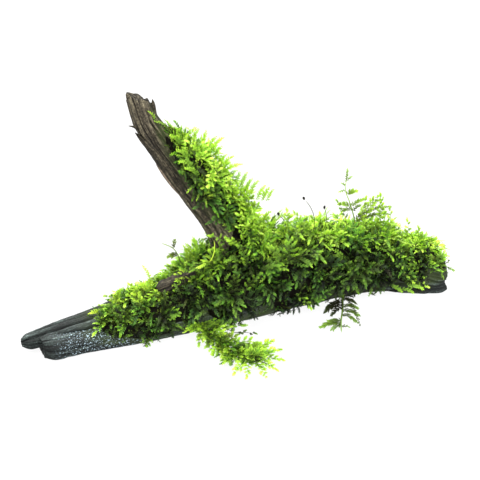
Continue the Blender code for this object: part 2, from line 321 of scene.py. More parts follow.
@dataclass(frozen=True)
class LivingMoss:
    """Java moss: thin wet leaves that let light through, pale at the growing tips and, with painted shade,
    dark inside.

    The palette map's u is a leaf's age: old at 0 and a growing tip at 1, with painted light and shade
    in it, higher where the moss faces the light and lower in the shade. Its v is how far the leaf has
    gone from fresh green towards yellow, and to dead brown at 1; it rises with the light, which is painted
    light too.
    """

    name: str
    fresh: tuple[tuple[float, str], ...]
    golden: tuple[tuple[float, str], ...]
    roughness: float = 0.4
    through: float = 0.35  # the share of light that passes through a leaf
    shine: float = 0.28

    def make(self) -> bpy.types.Material:
        """Builds the material.

        Returns:
            The finished material.
        """
        made, tree, output = new_material(self.name)
        place = add_node(tree, "ShaderNodeUVMap", uv_map=PALETTE_MAP).outputs["UV"]
        parts = add_node(tree, "ShaderNodeSeparateXYZ", {"Vector": place})
        age, tint = parts.outputs["X"], parts.outputs["Y"]
        colour = add_node(
            tree,
            "ShaderNodeMix",
            {"Factor": tint, 6: add_ramp(tree, age, self.fresh), 7: add_ramp(tree, age, self.golden)},
            data_type="RGBA",
        ).outputs[2]
        leaf = add_node(
            tree,
            "ShaderNodeBsdfPrincipled",
            {
                "Base Color": colour,
                "Roughness": self.roughness,
                "IOR": 1.33,
                "Specular IOR Level": self.shine,
            },
        ).outputs[0]
        glow = add_node(tree, "ShaderNodeBsdfTranslucent", {"Color": colour}).outputs[0]
        both = add_node(tree, "ShaderNodeMixShader", {"Fac": self.through, 1: leaf, 2: glow}).outputs[0]
        tree.links.new(both, output.inputs["Surface"])
        return made


@dataclass(frozen=True)
class StudioFloor:
    """An opal light table that shines just white, so that thin leaves stand out and shadows don't show."""

    name: str = "opal light table"
    colour: str = "#333333"
    light: str = "#FFFFFF"
    glow: float = 0.92

    def make(self) -> bpy.types.Material:
        """Builds the material.

        Returns:
            The finished material.
        """
        made, tree, output = new_material(self.name)
        shader = add_node(
            tree,
            "ShaderNodeBsdfPrincipled",
            {
                "Base Color": linear_rgb(self.colour),
                "Roughness": 0.9,
                "Emission Color": linear_rgb(self.light),
                "Emission Strength": self.glow,
            },
        )
        tree.links.new(shader.outputs[0], output.inputs["Surface"])
        return made


def hold_in(points: Array, low: Array, high: Array, give: float) -> Array:
    """Draws points that pass a box back towards it, so that none is further out than the give.

    A distance d past the box becomes give tanh(d / give).

    Args:
        points: the points.
        low: the box's low corner.
        high: its high corner.
        give: how far out a point may stay.

    Returns:
        The points, with those inside the box as they were.
    """
    over, under = np.maximum(points - high, 0), np.maximum(low - points, 0)
    return points - over + give * np.tanh(over / give) + under - give * np.tanh(under / give)


def tube(rings: Array) -> tuple[Array, Array]:
    """Closes rings of points into a tube, with a pole in the middle of each end.

    Args:
        rings: rings, the points of each, and x, y and z.

    Returns:
        The points with the two poles last, and the triangles.
    """
    count, sides = rings.shape[:2]
    grid = np.arange(count * sides).reshape(count, sides)
    right = np.roll(grid, -1, axis=1)
    pole = np.full(sides, count * sides)
    corners = (
        (grid[:-1], right[:-1], right[1:]),
        (grid[:-1], right[1:], grid[1:]),
        (pole, right[0], grid[0]),
        (pole + 1, grid[-1], right[-1]),
    )
    points = np.concatenate([rings.reshape(-1, 3), rings[:1].mean(1), rings[-1:].mean(1)])
    return points, np.concatenate([np.stack(three, -1).reshape(-1, 3) for three in corners])


def arc(base: Array, tip: Array, arch: Array, t: Array) -> Array:
    """Points on arcs, by the share t of the way: base + t (tip - base) + 4 t (1 - t) arch."""
    return base[:, None] + t * (tip - base)[:, None] + 4 * t * (1 - t) * arch[:, None]


def place_mesh(
    name: str, points: Array, faces: Array, origin: Array, corners: Array | None = None, smooth: bool = False
) -> bpy.types.Object:
    """Makes an object at the scene's origin from arrays in the wood's axes.

    Args:
        name: the piece's name.
        points: x, y and z of each point, in millimetres.
        faces: three point numbers for each triangle.
        origin: where the wood's own origin lies in the frame, in millimetres.
        corners: u and v of each point in the palette map, or of each triangle corner.
        smooth: whether the faces are shaded smooth.

    Returns:
        The object, linked to the scene.
    """
    mesh = bpy.data.meshes.new(name)
    mesh.vertices.add(len(points))
    mesh.vertices.foreach_set("co", ((points + origin) * MM).astype(np.float32).ravel())
    mesh.loops.add(faces.size)
    mesh.loops.foreach_set("vertex_index", faces.astype(np.int32).ravel())
    mesh.polygons.add(len(faces))
    mesh.polygons.foreach_set("loop_start", np.arange(0, faces.size, 3, dtype=np.int32))
    mesh.update(calc_edges=True)
    mesh.polygons.foreach_set("use_smooth", np.full(len(faces), smooth))
    if corners is not None:
        if len(corners) == len(points):
            corners = corners[faces.ravel()]
        mesh.uv_layers.new(name=PALETTE_MAP).data.foreach_set("uv", corners.astype(np.float32).ravel())
    made = bpy.data.objects.new(name, mesh)
    bpy.context.scene.collection.objects.link(made)
    return made


def paint(piece: bpy.types.Object, name: str, values: Array) -> None:
    """Stores a number or a vector for each point of a piece as an attribute.

    Args:
        piece: the object to write to.
        name: the attribute's name.
        values: one number, or one row of x, y and z, for each point.
    """
    kind, key = ("FLOAT", "value") if values.ndim == 1 else ("FLOAT_VECTOR", "vector")
    piece.data.attributes.new(name, kind, "POINT").data.foreach_set(key, values.astype(np.float32).ravel())


@dataclass
class Limb:
    """A length of wood: a squarish oval, fluted section carried along a smooth path.

    Stations hold a section's centre x, y and z and its half sizes across and tall, in millimetres.
    """

    stations: Sequence[tuple[float, ...]]
    reference: tuple[float, float, float]
    flutes: Sequence[tuple[float, float, float, float]]
    values: Array = field(init=False)
    keys: Array = field(init=False)

    def __post_init__(self) -> None:
        """Turns the stations into arrays."""
        self.values = np.array(self.stations, float)
        self.keys = distances(self.values[:, :3])

    @property
    def length(self) -> float:
        """The limb's length along its stations."""
        return float(self.keys[-1])

    def frame(self, along: Array) -> tuple[Array, ...]:
        """Finds the section at distances along the limb.

        Args:
            along: distances in millimetres.

        Returns:
            Centres, directions, side vectors, up vectors, and half sizes across and tall.
        """
        here = smooth_curve(self.keys, self.values, along)
        ahead = smooth_curve(self.keys, self.values, np.clip(along + 1, 0, self.length))
        behind = smooth_curve(self.keys, self.values, np.clip(along - 1, 0, self.length))
        way = unit(ahead[..., :3] - behind[..., :3])
        side = unit(np.cross(np.array(self.reference, float), way))
        return here[..., :3], way, side, np.cross(way, side), here[..., 3], here[..., 4]

    def surface(self, along: Array, angles: Array, lift: Array | float = 0.0) -> Array:
        """Points on the limb: the section's superellipse, times its flutes, lifted off by a distance.

        Args:
            along: distances along the limb.
            angles: angles round it, in radians: 0 at the side vector and a quarter turn at the up vector.
            lift: how far off the wood each point stands.

        Returns:
            One point for each distance and angle.
        """
        centre, _, side, up, across, tall = self.frame(along)
        flute = 1 + sum(
            depth * np.cos(count * angles + phase + twist * along)
            for count, depth, phase, twist in self.flutes
        )
        c, s = np.cos(angles), np.sin(angles)
        box = (np.abs(c) ** SECTION_POWER + np.abs(s) ** SECTION_POWER) ** (-1 / SECTION_POWER)
        wide, high = across * flute * box + lift, tall * flute * box + lift
        return centre + (wide * c)[..., None] * side + (high * s)[..., None] * up

    def outward(self, along: Array, angles: Array) -> tuple[Array, Array, Array]:
        """Points on the limb with the directions out of the wood and along it.

        Args:
            along: distances along the limb.
            angles: angles round it in radians.

        Returns:
            The points, the outward directions and the limb's own directions.
        """
        spot = self.surface(along, angles)
        ahead = self.surface(along + 1, angles) - spot
        turned = self.surface(along, angles + 0.1) - spot
        out = unit(np.cross(turned, ahead))
        centre, way = self.frame(along)[:2]
        out *= np.sign(np.sum(out * (spot - centre), axis=-1, keepdims=True))
        return spot, out, way


@dataclass(frozen=True)
class Crack:
    """A crack or groove that runs along the grain, from one spot to another, in millimetres and degrees."""

    start: tuple[float, float]
    end: tuple[float, float]
    width: float
    depth: float
    wander: float = 4.0


@dataclass(frozen=True)
class Pit:
    """A round hole or knot in the wood."""

    along: float
    angle: float
    radius: float
    depth: float


@dataclass(frozen=True)
class Clump:
    """Where a cushion of moss grows on its limb.

    along and reach are in millimetres, and middle and spread are degrees round the limb.
    """

    limb: Limb
    along: float
    reach: float
    middle: float
    spread: float
    seed: int

    def rim(self, along: Array, angles: Array) -> Array:
        """How far inside the cushion a spot is: 1 in its middle, 0 at its edge, and less outside."""
        turn = (np.degrees(angles) - self.middle + 180) % 360 - 180
        return 1 - ((along - self.along) / self.reach) ** 2 - (turn / self.spread) ** 2

    def spots(self, count: int, reach: float, draw: np.random.Generator) -> tuple[Array, Array]:
        """Spreads spots evenly over the cushion along a golden spiral, with some jitter.

        Args:
            count: how many spots.
            reach: how far out they go, as a share of the cushion's own reach.
            draw: the random generator.

        Returns:
            Distances along the limb and angles in radians.
        """
        i = np.arange(count)
        out = np.sqrt((i + 0.5) / count) * reach * draw.uniform(0.9, 1.05, count)
        turn = i * math.pi * (3 - math.sqrt(5)) + draw.uniform(-0.4, 0.4, count)
        along = self.along + self.reach * out * np.cos(turn)
        return along, np.radians(self.middle + self.spread * out * np.sin(turn))


@dataclass
class Driftwood:
    """One limb of the driftwood as a fine mesh with grain, cracks and worn ends."""

    name: str
    node: str
    limb: Limb
    finish: bpy.types.Material
    clumps: Sequence[Clump]
    rows: int
    columns: int
    ridges: int
    relief: float
    seed: int
    cracks: Sequence[Crack] = ()
    pits: Sequence[Pit] = ()
    tip: Callable[[Array], Array] = lambda angles: 0 * angles
    stained_from: float = 1e9
    # how strongly, and how far along, glints of light on the water are painted into the colour
    wet_glint_strength: float = 0.0
    wet_glints_to: float = 60.0
    cap_rows: int = 12

    def weather(self, along: Array, angles: Array) -> tuple[Array, Array]:
        """Works out how the surface has weathered.

        The lift is the absolute value of noise stretched along the grain, which gives rounded ridges
        with sharp valleys, plus finer fibres and broad waves. Each crack takes away a bell curve across
        a line that wanders along the grain, and each pit one round its middle.

        Args:
            along: distances along the limb.
            angles: angles round it.

        Returns:
            How far each point lifts off the plain limb, and its tone_and_shade from 0, dark, to 1, light,
            with painted shade in the valleys, cracks and pits.
        """
        share = angles / (2 * math.pi)
        warp = 0.8 * noise(along / 24, share * 6, self.seed + 1, 6)
        ridge = np.abs(noise(along / 34 + 50, share * self.ridges + warp, self.seed + 2, self.ridges))
        fibres = self.ridges * 3
        fine = noise(along / 13 + 90, share * fibres + 2 * warp, self.seed + 3, fibres)
        broad = noise(along / 20 + 20, share * 4, self.seed + 4, 4)
        crumbs = noise(along / 2.2, share * fibres, self.seed + 5, fibres)
        lift = self.relief * (1.5 * ridge**0.8 - 0.6 + 0.45 * fine + 0.6 * broad + 0.25 * crumbs)
        # tone_and_shade follows the relief, lighter on the ridges and darker in the valleys: painted shade
        # over the wood's own mottling
        tone_and_shade = 0.14 + 0.75 * ridge**0.7 + 0.25 * fine + 0.2 * broad + 0.15 * crumbs
        radius = self.limb.frame(along)[4:]
        radius = (radius[0] + radius[1]) / 2
        for i, crack in enumerate(self.cracks):
            (a0, d0), (a1, d1) = crack.start, crack.end
            t = (along - a0) / (a1 - a0)
            ends = ramp01(t, 0.0, 0.15) * (1 - ramp01(t, 0.8, 1.0))
            middle = np.radians(d0 + (d1 - d0) * t + crack.wander * noise(along / 9, 0 * along, 70 + i))
            gap = ((angles - middle + math.pi) % (2 * math.pi) - math.pi) * radius
            inside = ends * np.exp(-((gap / crack.width) ** 2))
            lift = lift - crack.depth * inside
            # painted shade: the crack is darkened in the colour as well as cut in
            tone_and_shade = tone_and_shade * (1 - 0.9 * inside)
        for pit in self.pits:
            gap = ((angles - math.radians(pit.angle) + math.pi) % (2 * math.pi) - math.pi) * radius
            inside = np.exp(-(((along - pit.along) / PIT_STRETCH) ** 2 + gap**2) / pit.radius**2)
            lift = lift - pit.depth * inside
            # painted shade: the pit is darkened in the colour as well as sunk in
            tone_and_shade = tone_and_shade * (1 - 0.9 * inside)
        return lift, np.clip(tone_and_shade, 0, 1)

    def build(self, origin: Array) -> bpy.types.Object:
        """Builds the limb: rings of points along it, closed at each end by rings drawn in to a pole.

        Args:
            origin: where the wood's own origin lies in the frame, in millimetres.

        Returns:
            The finished piece.
        """
        angles = np.arange(self.columns) * 2 * math.pi / self.columns
        even = np.linspace(0, 1, self.rows)
        stretch = 0.6 * even + 0.4 * (1 - np.cos(even * math.pi)) / 2
        along, turn = np.meshgrid(stretch * self.limb.length, angles, indexing="ij")
        lift, tone_and_shade = self.weather(along, turn)
        points = self.limb.surface(along, turn, lift)
        way = self.limb.frame(along[:, 0])[1]
        jag = 0.5 * noise(angles * 7 / math.pi, 0 * angles, self.seed + 9, 0)
        push = (self.tip(angles) + jag)[None, :] * ramp01(along, self.limb.length - 9, self.limb.length)
        points = points + push[..., None] * way[-1]
        points, tone_and_shade = self.close(points, tone_and_shade, way)
        points[..., 2] = np.maximum(points[..., 2], 0.0)
        flat, faces = tube(points)
        made = place_mesh(self.name, flat, faces, origin, self.corners(len(points)), smooth=True)
        self.colour(made, tone_and_shade, along, turn)
        made.data.materials.append(self.finish)
        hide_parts(self.node)
        return made

    def colour(self, made: bpy.types.Object, tone_and_shade: Array, along: Array, turn: Array) -> None:
        """Stores what the finish reads: the tone_and_shade, the stain, the wet places where glints are
        painted in, and the grain.

        Args:
            made: the limb's piece.
            tone_and_shade: the tone of each point, ring by ring, with the ends' rings.
            along: distances along the limb, without the ends' rings.
            turn: angles round it, likewise.
        """
        cap = (len(tone_and_shade) - len(along)) // 2
        inner = slice(cap, cap + len(along))
        stain, wet = np.zeros_like(tone_and_shade), np.zeros_like(tone_and_shade)
        for clump in self.clumps:
            stain[inner] = np.maximum(stain[inner], ramp01(clump.rim(along, turn), -0.9, 0.1))
        further = 0.75 * ramp01(along, self.stained_from, self.stained_from + 25)
        patchy = 0.5 + 0.5 * noise(along / 5, turn * 4, self.seed + 11)
        stain[inner] = np.maximum(stain[inner], further) * (0.1 + 0.5 * patchy)
        # painted highlight: where glints of light on the wet wood are painted in
        wet[inner] = self.wet_glint_strength * ramp01(along, 2, 16) * (1 - ramp01(along, self.wet_glints_to - 20, self.wet_glints_to))
        radius = np.full((len(tone_and_shade), 1), GRAIN_RADIUS)
        radius[:cap], radius[-cap:] = CAP_GRAIN * GRAIN_RADIUS, CAP_GRAIN * GRAIN_RADIUS
        run = np.concatenate([np.full(cap, along[0, 0]), along[:, 0], np.full(cap, along[-1, 0])])
        length = np.broadcast_to(run[:, None] / GRAIN_STRETCH, tone_and_shade.shape)
        grain = np.stack([radius * np.cos(turn[:1]), radius * np.sin(turn[:1]), length], -1).reshape(-1, 3)
        paint(made, "tone_and_shade", np.concatenate([tone_and_shade.ravel(), tone_and_shade[:1].mean(1), tone_and_shade[-1:].mean(1)]))
        paint(made, "stain", np.concatenate([stain.ravel(), [0, 0]]))
        paint(made, "wet", np.concatenate([wet.ravel(), [0, 0]]))
        paint(made, "grain", np.concatenate([grain, grain[:1], grain[-1:]]) * MM)

    def close(self, points: Array, tone_and_shade: Array, way: Array) -> tuple[Array, Array]:
        """Adds the rings that close both ends, drawn in towards the middle with a rough, dished face.

        Args:
            points: the limb's rings.
            tone_and_shade: the tone of each point.
            way: the limb's direction at each ring.

        Returns:
            The rings and tones with the ends' rings added.
        """
        share = np.linspace(1, 0, self.cap_rows + 2)[1:-1, None]
        angles = np.arange(self.columns) * 2 * math.pi / self.columns
        pieces, tones = [points], [tone_and_shade]
        for last in (False, True):
            ring = points[-1] if last else points[0]
            middle = ring.mean(0)
            rough = noise(share * 5 + 7, angles[None, :] * 9 / math.pi, self.seed + 13 + last, 18)
            step = way[-1] if last else -way[0]
            dome = 0.7 * self.relief * rough - 1.2 * self.relief * (1 - share**2)
            cap = middle + share[..., None] * (ring - middle) + dome[..., None] * step
            shade = np.clip(0.35 + 0.3 * rough, 0, 1)
            pieces = pieces + [cap] if last else [cap[::-1]] + pieces
            tones = tones + [shade] if last else [shade[::-1]] + tones
        return np.concatenate(pieces), np.concatenate(tones)

    def corners(self, count: int) -> Array:
        """Lays the rings out flat: u round the limb and v along it.

        Args:
            count: how many rings there are.

        Returns:
            u and v for each triangle corner, with no triangle reaching back over the seam.
        """
        step = 1 / self.columns
        share = np.arange(self.columns) / self.columns
        u = np.broadcast_to(share, (count, self.columns))
        v = np.broadcast_to((np.arange(count) + 1)[:, None] / (count + 2), u.shape)
        a = np.stack([u[:-1], v[:-1]], -1)
        b = a + np.array([step, 0])
        c = np.stack([u[1:] + step, v[1:]], -1)
        d = np.stack([u[1:], v[1:]], -1)
        first = np.stack([a, b, c], 2).reshape(-1, 2)
        second = np.stack([a, c, d], 2).reshape(-1, 2)
        low = np.stack([share, np.full(self.columns, v[0, 0])], -1)
        high = np.stack([share, np.full(self.columns, v[-1, 0])], -1)
        shift, half = np.array([step, 0]), np.array([step / 2, 0])
        under, over = np.array([0.0, -1 / (count + 2)]), np.array([0.0, 1 / (count + 2)])
        start = np.stack([low + half + under, low + shift, low], 1).reshape(-1, 2)
        end = np.stack([high + half + over, high, high + shift], 1).reshape(-1, 2)
        return np.clip(np.concatenate([first, second, start, end]), 0, 1)


@dataclass
class Foliage:
    """Collects leaves and stems as arrays, and turns them into one mesh."""

    points: list[Array] = field(default_factory=list)
    faces: list[Array] = field(default_factory=list)
    colours: list[Array] = field(default_factory=list)
    total: int = 0

    def add(self, points: Array, faces: Array, colours: Array) -> None:
        """Adds many copies of one small shape.

        Args:
            points: copies, points of each copy, and x, y and z.
            faces: the triangles of one copy.
            colours: copies, points of each copy, and age and tint.
        """
        copies, size = points.shape[:2]
        offsets = self.total + size * np.arange(copies)[:, None, None]
        self.points.append(points.reshape(-1, 3))
        self.faces.append((faces[None] + offsets).reshape(-1, 3))
        self.colours.append(colours.reshape(-1, 2))
        self.total += copies * size

    def leaves(self, base: Array, way: Array, face: Array, size: Array, age: Array, tint: Array) -> None:
        """Adds leaves: a folded kite with its base, two edges and tip, closed underneath by its keel.

        The edges are 0.42 of the way along, a quarter of the length out and a twelfth up.

        Args:
            base: where each leaf starts.
            way: the direction that it points.
            face: roughly the direction that its upper side faces.
            size: its length.
            age: its age at its base and tip, in two columns.
            tint: its tint.
        """
        face = unit(face - np.sum(face * way, -1, keepdims=True) * way)
        across = np.cross(face, way) * (0.25 * size)[:, None]
        middle = base + way * (0.42 * size)[:, None] + face * (0.08 * size)[:, None]
        tip = base + way * size[:, None]
        points = np.stack([base, middle + across, middle - across, tip], 1)
        mean = age.mean(1)
        spread = 0.008
        colours = np.stack(
            [
                np.stack([age[:, 0], tint], -1),
                np.stack([mean, tint + spread], -1),
                np.stack([mean, tint - spread], -1),
                np.stack([age[:, 1], tint], -1),
            ],
            1,
        )
        self.add(points, np.array([(0, 2, 1), (3, 1, 2), (0, 1, 3), (0, 3, 2)]), colours)

    def stems(self, spine: Array, radius: Array, age: Array, tint: Array) -> None:
        """Adds three-sided stems that run to a point at both ends.

        Args:
            spine: stems, points of each stem, and x, y and z.
            radius: the thickness at each point; the two end points are always sharp.
            age: the age at each point.
            tint: each stem's tint.
        """
        copies, count = spine.shape[:2]
        way = unit(np.gradient(spine, axis=1))
        side = unit(np.cross(way, np.array([0.31, 0.43, 0.85])))
        up = np.cross(way, side)
        turn = np.arange(3) * 2 * math.pi / 3
        ring = (
            spine[:, 1:-1, None]
            + (radius[:, 1:-1, None] * np.cos(turn))[..., None] * side[:, 1:-1, None]
            + (radius[:, 1:-1, None] * np.sin(turn))[..., None] * up[:, 1:-1, None]
        )
        inner = count - 2
        points = np.concatenate([spine[:, :1], ring.reshape(copies, inner * 3, 3), spine[:, -1:]], 1)
        faces = []
        last = inner * 3 + 1
        for k in range(3):
            j = (k + 1) % 3
            faces.append((0, 1 + j, 1 + k))
            faces.append((last, last - 3 + k, last - 3 + j))
            for r in range(inner - 1):
                a, b = 1 + 3 * r, 4 + 3 * r
                faces += [(a + k, a + j, b + j), (a + k, b + j, b + k)]
        spread = np.array([-0.008, 0.0, 0.008])
        rings = np.stack(
            np.broadcast_arrays(age[:, 1:-1, None], tint[:, None, None] + spread[None, None]), -1
        ).reshape(copies, inner * 3, 2)
        start = np.stack([age[:, 0] - 0.02, tint], -1)[:, None]
        end = np.stack([age[:, -1] + 0.02, tint], -1)[:, None]
        self.add(points, np.array(faces), np.concatenate([start, rings, end], 1))

    def shoots(
        self,
        base: Array,
        tip: Array,
        arch: Array,
        face: Array,
        age: Array,
        tint: Array,
        leaves: int,
        draw: np.random.Generator,
        size: float = 1.0,
    ) -> None:
        """Adds leafy shoots: a thin curved stem with overlapping leaves in three rows and one at its tip.

        A shoot's line is base + t (tip - base) + 4 t (1 - t) arch. The leaves on its sides stand at 50
        degrees to the line near the base and 28 near the tip, and those on its face lie along it.

        Args:
            base: where each shoot starts.
            tip: where its stem ends.
            arch: how far its middle stands off the straight line.
            face: the direction that its flat side faces.
            age: its age at the base.
            tint: its tint.
            leaves: how many leaves it has, its tip's included.
            draw: the random generator.
            size: how large the leaves are, against their usual size.
        """
        count = len(base)
        length = np.linalg.norm(tip - base, axis=-1)
        row = np.arange(leaves) % 3
        t = ((np.arange(leaves) + 0.5) / (leaves - 0.5))[None, :, None]
        side = np.array([-1.0, 1.0, 0.0])[row]
        side[-1] = 0.0
        line = arc(base, tip, arch, t)
        run = unit((tip - base)[:, None] + 4 * (1 - 2 * t) * arch[:, None])
        flat = unit(face[:, None] - np.sum(face[:, None] * run, -1, keepdims=True) * run)
        across = np.cross(run, flat)
        splay = np.radians(50 - 22 * t[..., 0]) + draw.normal(0, 0.12, (count, leaves))
        lean = draw.normal(0.05, 0.14, (count, leaves)) + np.where(row == 2, 0.35, 0.0)[None]
        direction = unit(
            np.cos(splay)[..., None] * run
            + (side[None, :] * np.sin(splay))[..., None] * across
            + lean[..., None] * flat
        )
        grown = np.clip(0.14 * length + 0.8, 1.0, 1.8)[:, None] * (1 - 0.4 * t[..., 0] ** 3)
        grown = size * grown * (0.75 + 0.25 * np.minimum(1, t[..., 0] / 0.3))
        grown = grown * draw.uniform(0.85, 1.15, lean.shape)
        start = age[:, None] + 0.24 * t[..., 0] + draw.normal(0, 0.02, (count, leaves))
        ages = np.stack([start, start + 0.05], -1)
        tints = tint[:, None] + draw.normal(0, 0.03, (count, leaves))
        self.leaves(
            line.reshape(-1, 3),
            direction.reshape(-1, 3),
            flat.reshape(-1, 3),
            grown.ravel(),
            ages.reshape(-1, 2),
            tints.ravel(),
        )
        s = np.array([0.0, 0.3, 0.65, 1.0])[None, :, None]
        spine = arc(base, tip, arch, s)
        thick = np.broadcast_to(np.array([0.0, 0.2, 0.15, 0.0]) * size, (count, 4))
        self.stems(spine, thick, age[:, None] + 0.2 * s[..., 0], tint)

    def fronds(
        self,
        curve: Array,
        face: Array,
        width: Array,
        age: Array,
        tint: Array,
        pairs: int,
        leaves: int,
        draw: np.random.Generator,
        thick: float = 0.3,
        rise: Array | float = 0.3,
        size: float = 1.0,
    ) -> None:
        """Adds fronds: a main stem with side shoots in two rows and one at its tip.

        The stem is the cubic Bezier curve of four points. The side shoots are longest a third of the way
        up and short at the tip, and point more forward the nearer they are to it.

        Args:
            curve: fronds, their four control points, and x, y and z.
            face: the direction that each frond's flat side faces.
            width: the length of its longest side shoots.
            age: its age at its foot.
            tint: its tint.
            pairs: how many side shoots it has on either side.
            leaves: how many leaves each side shoot has.
            draw: the random generator.
            thick: the main stem's radius at its foot.
            rise: how far the side shoots stand up off the frond's flat side, against their length.
            size: how large the leaves are, against their usual size.
        """
        count = len(curve)
        sides = 2 * pairs + 1
        t = np.append(np.linspace(0.12, 0.92, 2 * pairs), 1.0)
        place, run = bezier(curve, t)
        flat = unit(face[:, None] - np.sum(face[:, None] * run, -1, keepdims=True) * run)
        across = np.cross(run, flat)
        side = np.append(np.where(np.arange(2 * pairs) % 2, 1.0, -1.0), 0.0)
        splay = np.radians(70 - 24 * t)[None, :] + draw.normal(0, 0.14, (count, sides))
        lean = draw.normal(0, 0.25, (count, sides)) + np.broadcast_to(rise, (count,))[:, None]
        lean[:, -1] = 0.0
        splay[:, -1] = 0.0
        way = unit(
            np.cos(splay)[..., None] * run
            + (side[None, :] * np.sin(splay))[..., None] * across
            + lean[..., None] * flat
        )
        profile = np.clip(0.35 + 1.5 * t, 0, 1) * (1 - 0.55 * t**2)
        profile[-1] = 0.8
        length = width[:, None] * profile[None, :] * draw.uniform(0.75, 1.15, (count, sides))
        tip = place + length[..., None] * unit(way + 0.3 * run)
        arch = length[..., None] * (0.07 * (way - run) + draw.normal(0, 0.05, way.shape))
        ages = age[:, None] + 0.12 * t[None, :] + draw.normal(0, 0.06, (count, sides))
        tints = tint[:, None] + draw.normal(0, 0.05, (count, sides))
        self.shoots(
            place.reshape(-1, 3),
            tip.reshape(-1, 3),
            arch.reshape(-1, 3),
            np.broadcast_to(flat, way.shape).reshape(-1, 3),
            ages.ravel(),
            tints.ravel(),
            leaves,
            draw,
            size,
        )
        s = np.linspace(0, 1, 9)
        spine = bezier(curve, s)[0]
        radius = np.broadcast_to(thick * (1 - 0.6 * s), (count, 9))
        self.stems(spine, radius, np.maximum(age - 0.1, 0.05)[:, None] + 0.3 * s[None, :], tint + 0.2)

    def accents(self, rows: Sequence["Accent"], draw: np.random.Generator) -> None:
        """Adds shoots that stand where they are listed.

        Args:
            rows: the shoots.
            draw: the random generator.
        """
        for row in rows:
            base, tip = np.array([row.base], float), np.array([row.tip], float)
            run = tip - base
            length = np.linalg.norm(run)
            front = np.array([[-0.3, -0.8, 0.5]]) + draw.normal(0, 0.2, (1, 3))
            arch = row.arch * length * unit(np.cross(np.cross(run, [[0.3, -0.2, 1.0]]), run))
            age, tint = np.array([row.age]), np.array([row.tint])
            if row.pairs:
                curve = np.stack([base, base + run / 3 + arch, base + 2 * run / 3 + arch, tip], 1)
                self.fronds(curve, unit(front), np.array([row.width]), age, tint, row.pairs, 16, draw, 0.25)
            elif row.kind is not Growth.LEAFY:
                s = np.linspace(0, 1, 8)[None, :, None]
                self.stems(arc(base, tip, arch, s), np.full((1, 8), STALK), np.full((1, 8), row.age), tint)
            else:
                leaves = int(np.clip(2.8 * length, 13, 31))
                self.shoots(base, tip, arch, unit(front), age, tint, leaves, draw, row.size)
            if row.kind is Growth.CAPSULE:
                bead = tip + unit(run) * np.array([-0.6, 0.0, 1.1, 1.8])[:, None]
                radius = np.array([[0.0, 0.75, 0.7, 0.0]])
                self.stems(bead[None], radius, np.full((1, 4), 0.02), np.array([0.9]))

    def piece(self, name: str, finish: bpy.types.Material, origin: Array, *nodes: str) -> bpy.types.Object:
        """Turns what was collected into one piece that stands for CAD nodes.

        Args:
            name: the piece's name.
            finish: its material.
            origin: where the wood's own origin lies in the frame, in millimetres.
            *nodes: the nodes that it replaces.

        Returns:
            The finished piece.
        """
        low, high = (np.array(corner) / MM - origin for corner in SOLIDS_BOX)
        points = hold_in(np.concatenate(self.points), low, high, STRAY)
        points[:, 2] = np.maximum(points[:, 2], FLOOR_GAP + 0.05 * np.sin(points[:, 0] * 9))
        colours = np.clip(np.concatenate(self.colours), 0.01, 0.99)
        made = place_mesh(name, points, np.concatenate(self.faces), origin, colours)
        made.data.materials.append(finish)
        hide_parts(*nodes)
        return made


def bezier(curve: Array, t: Array) -> tuple[Array, Array]:
    """Reads cubic Bezier curves.

    Args:
        curve: curves, their four control points, and x, y and z.
        t: shares of the way along, from 0 to 1.

    Returns:
        The points and the directions there: curves, shares, and x, y and z.
    """
    a, b, c, d = (curve[:, k, None, :] for k in range(4))
    t = t[None, :, None]
    point = (1 - t) ** 3 * a + 3 * (1 - t) ** 2 * t * b + 3 * (1 - t) * t**2 * c + t**3 * d
    run = (1 - t) ** 2 * (b - a) + 2 * (1 - t) * t * (c - b) + t**2 * (d - c)
    return point, unit(run)


class Growth(Enum):
    """What a listed shoot carries, if it has no pairs of side shoots."""

    LEAFY = "leaves"
    BARE = "nothing"
    CAPSULE = "a spore capsule"


@dataclass(frozen=True)
class Accent:
    """A shoot given its own place: a frond if it has pairs of side shoots, or else what its kind says.

    Points and sizes are in millimetres. The width is the length of the longest side shoots.
    """

    base: tuple[float, float, float]
    tip: tuple[float, float, float]
    # age: the shoot's age with painted light in it, higher for lit shoots and lower for shaded ones
    age: float = 0.45
    pairs: int = 0
    width: float = 4.0
    tint: float = 0.35
    arch: float = 0.12
    size: float = 1.1  # how large its leaves are if it has no pairs, against their usual size
    kind: Growth = Growth.LEAFY


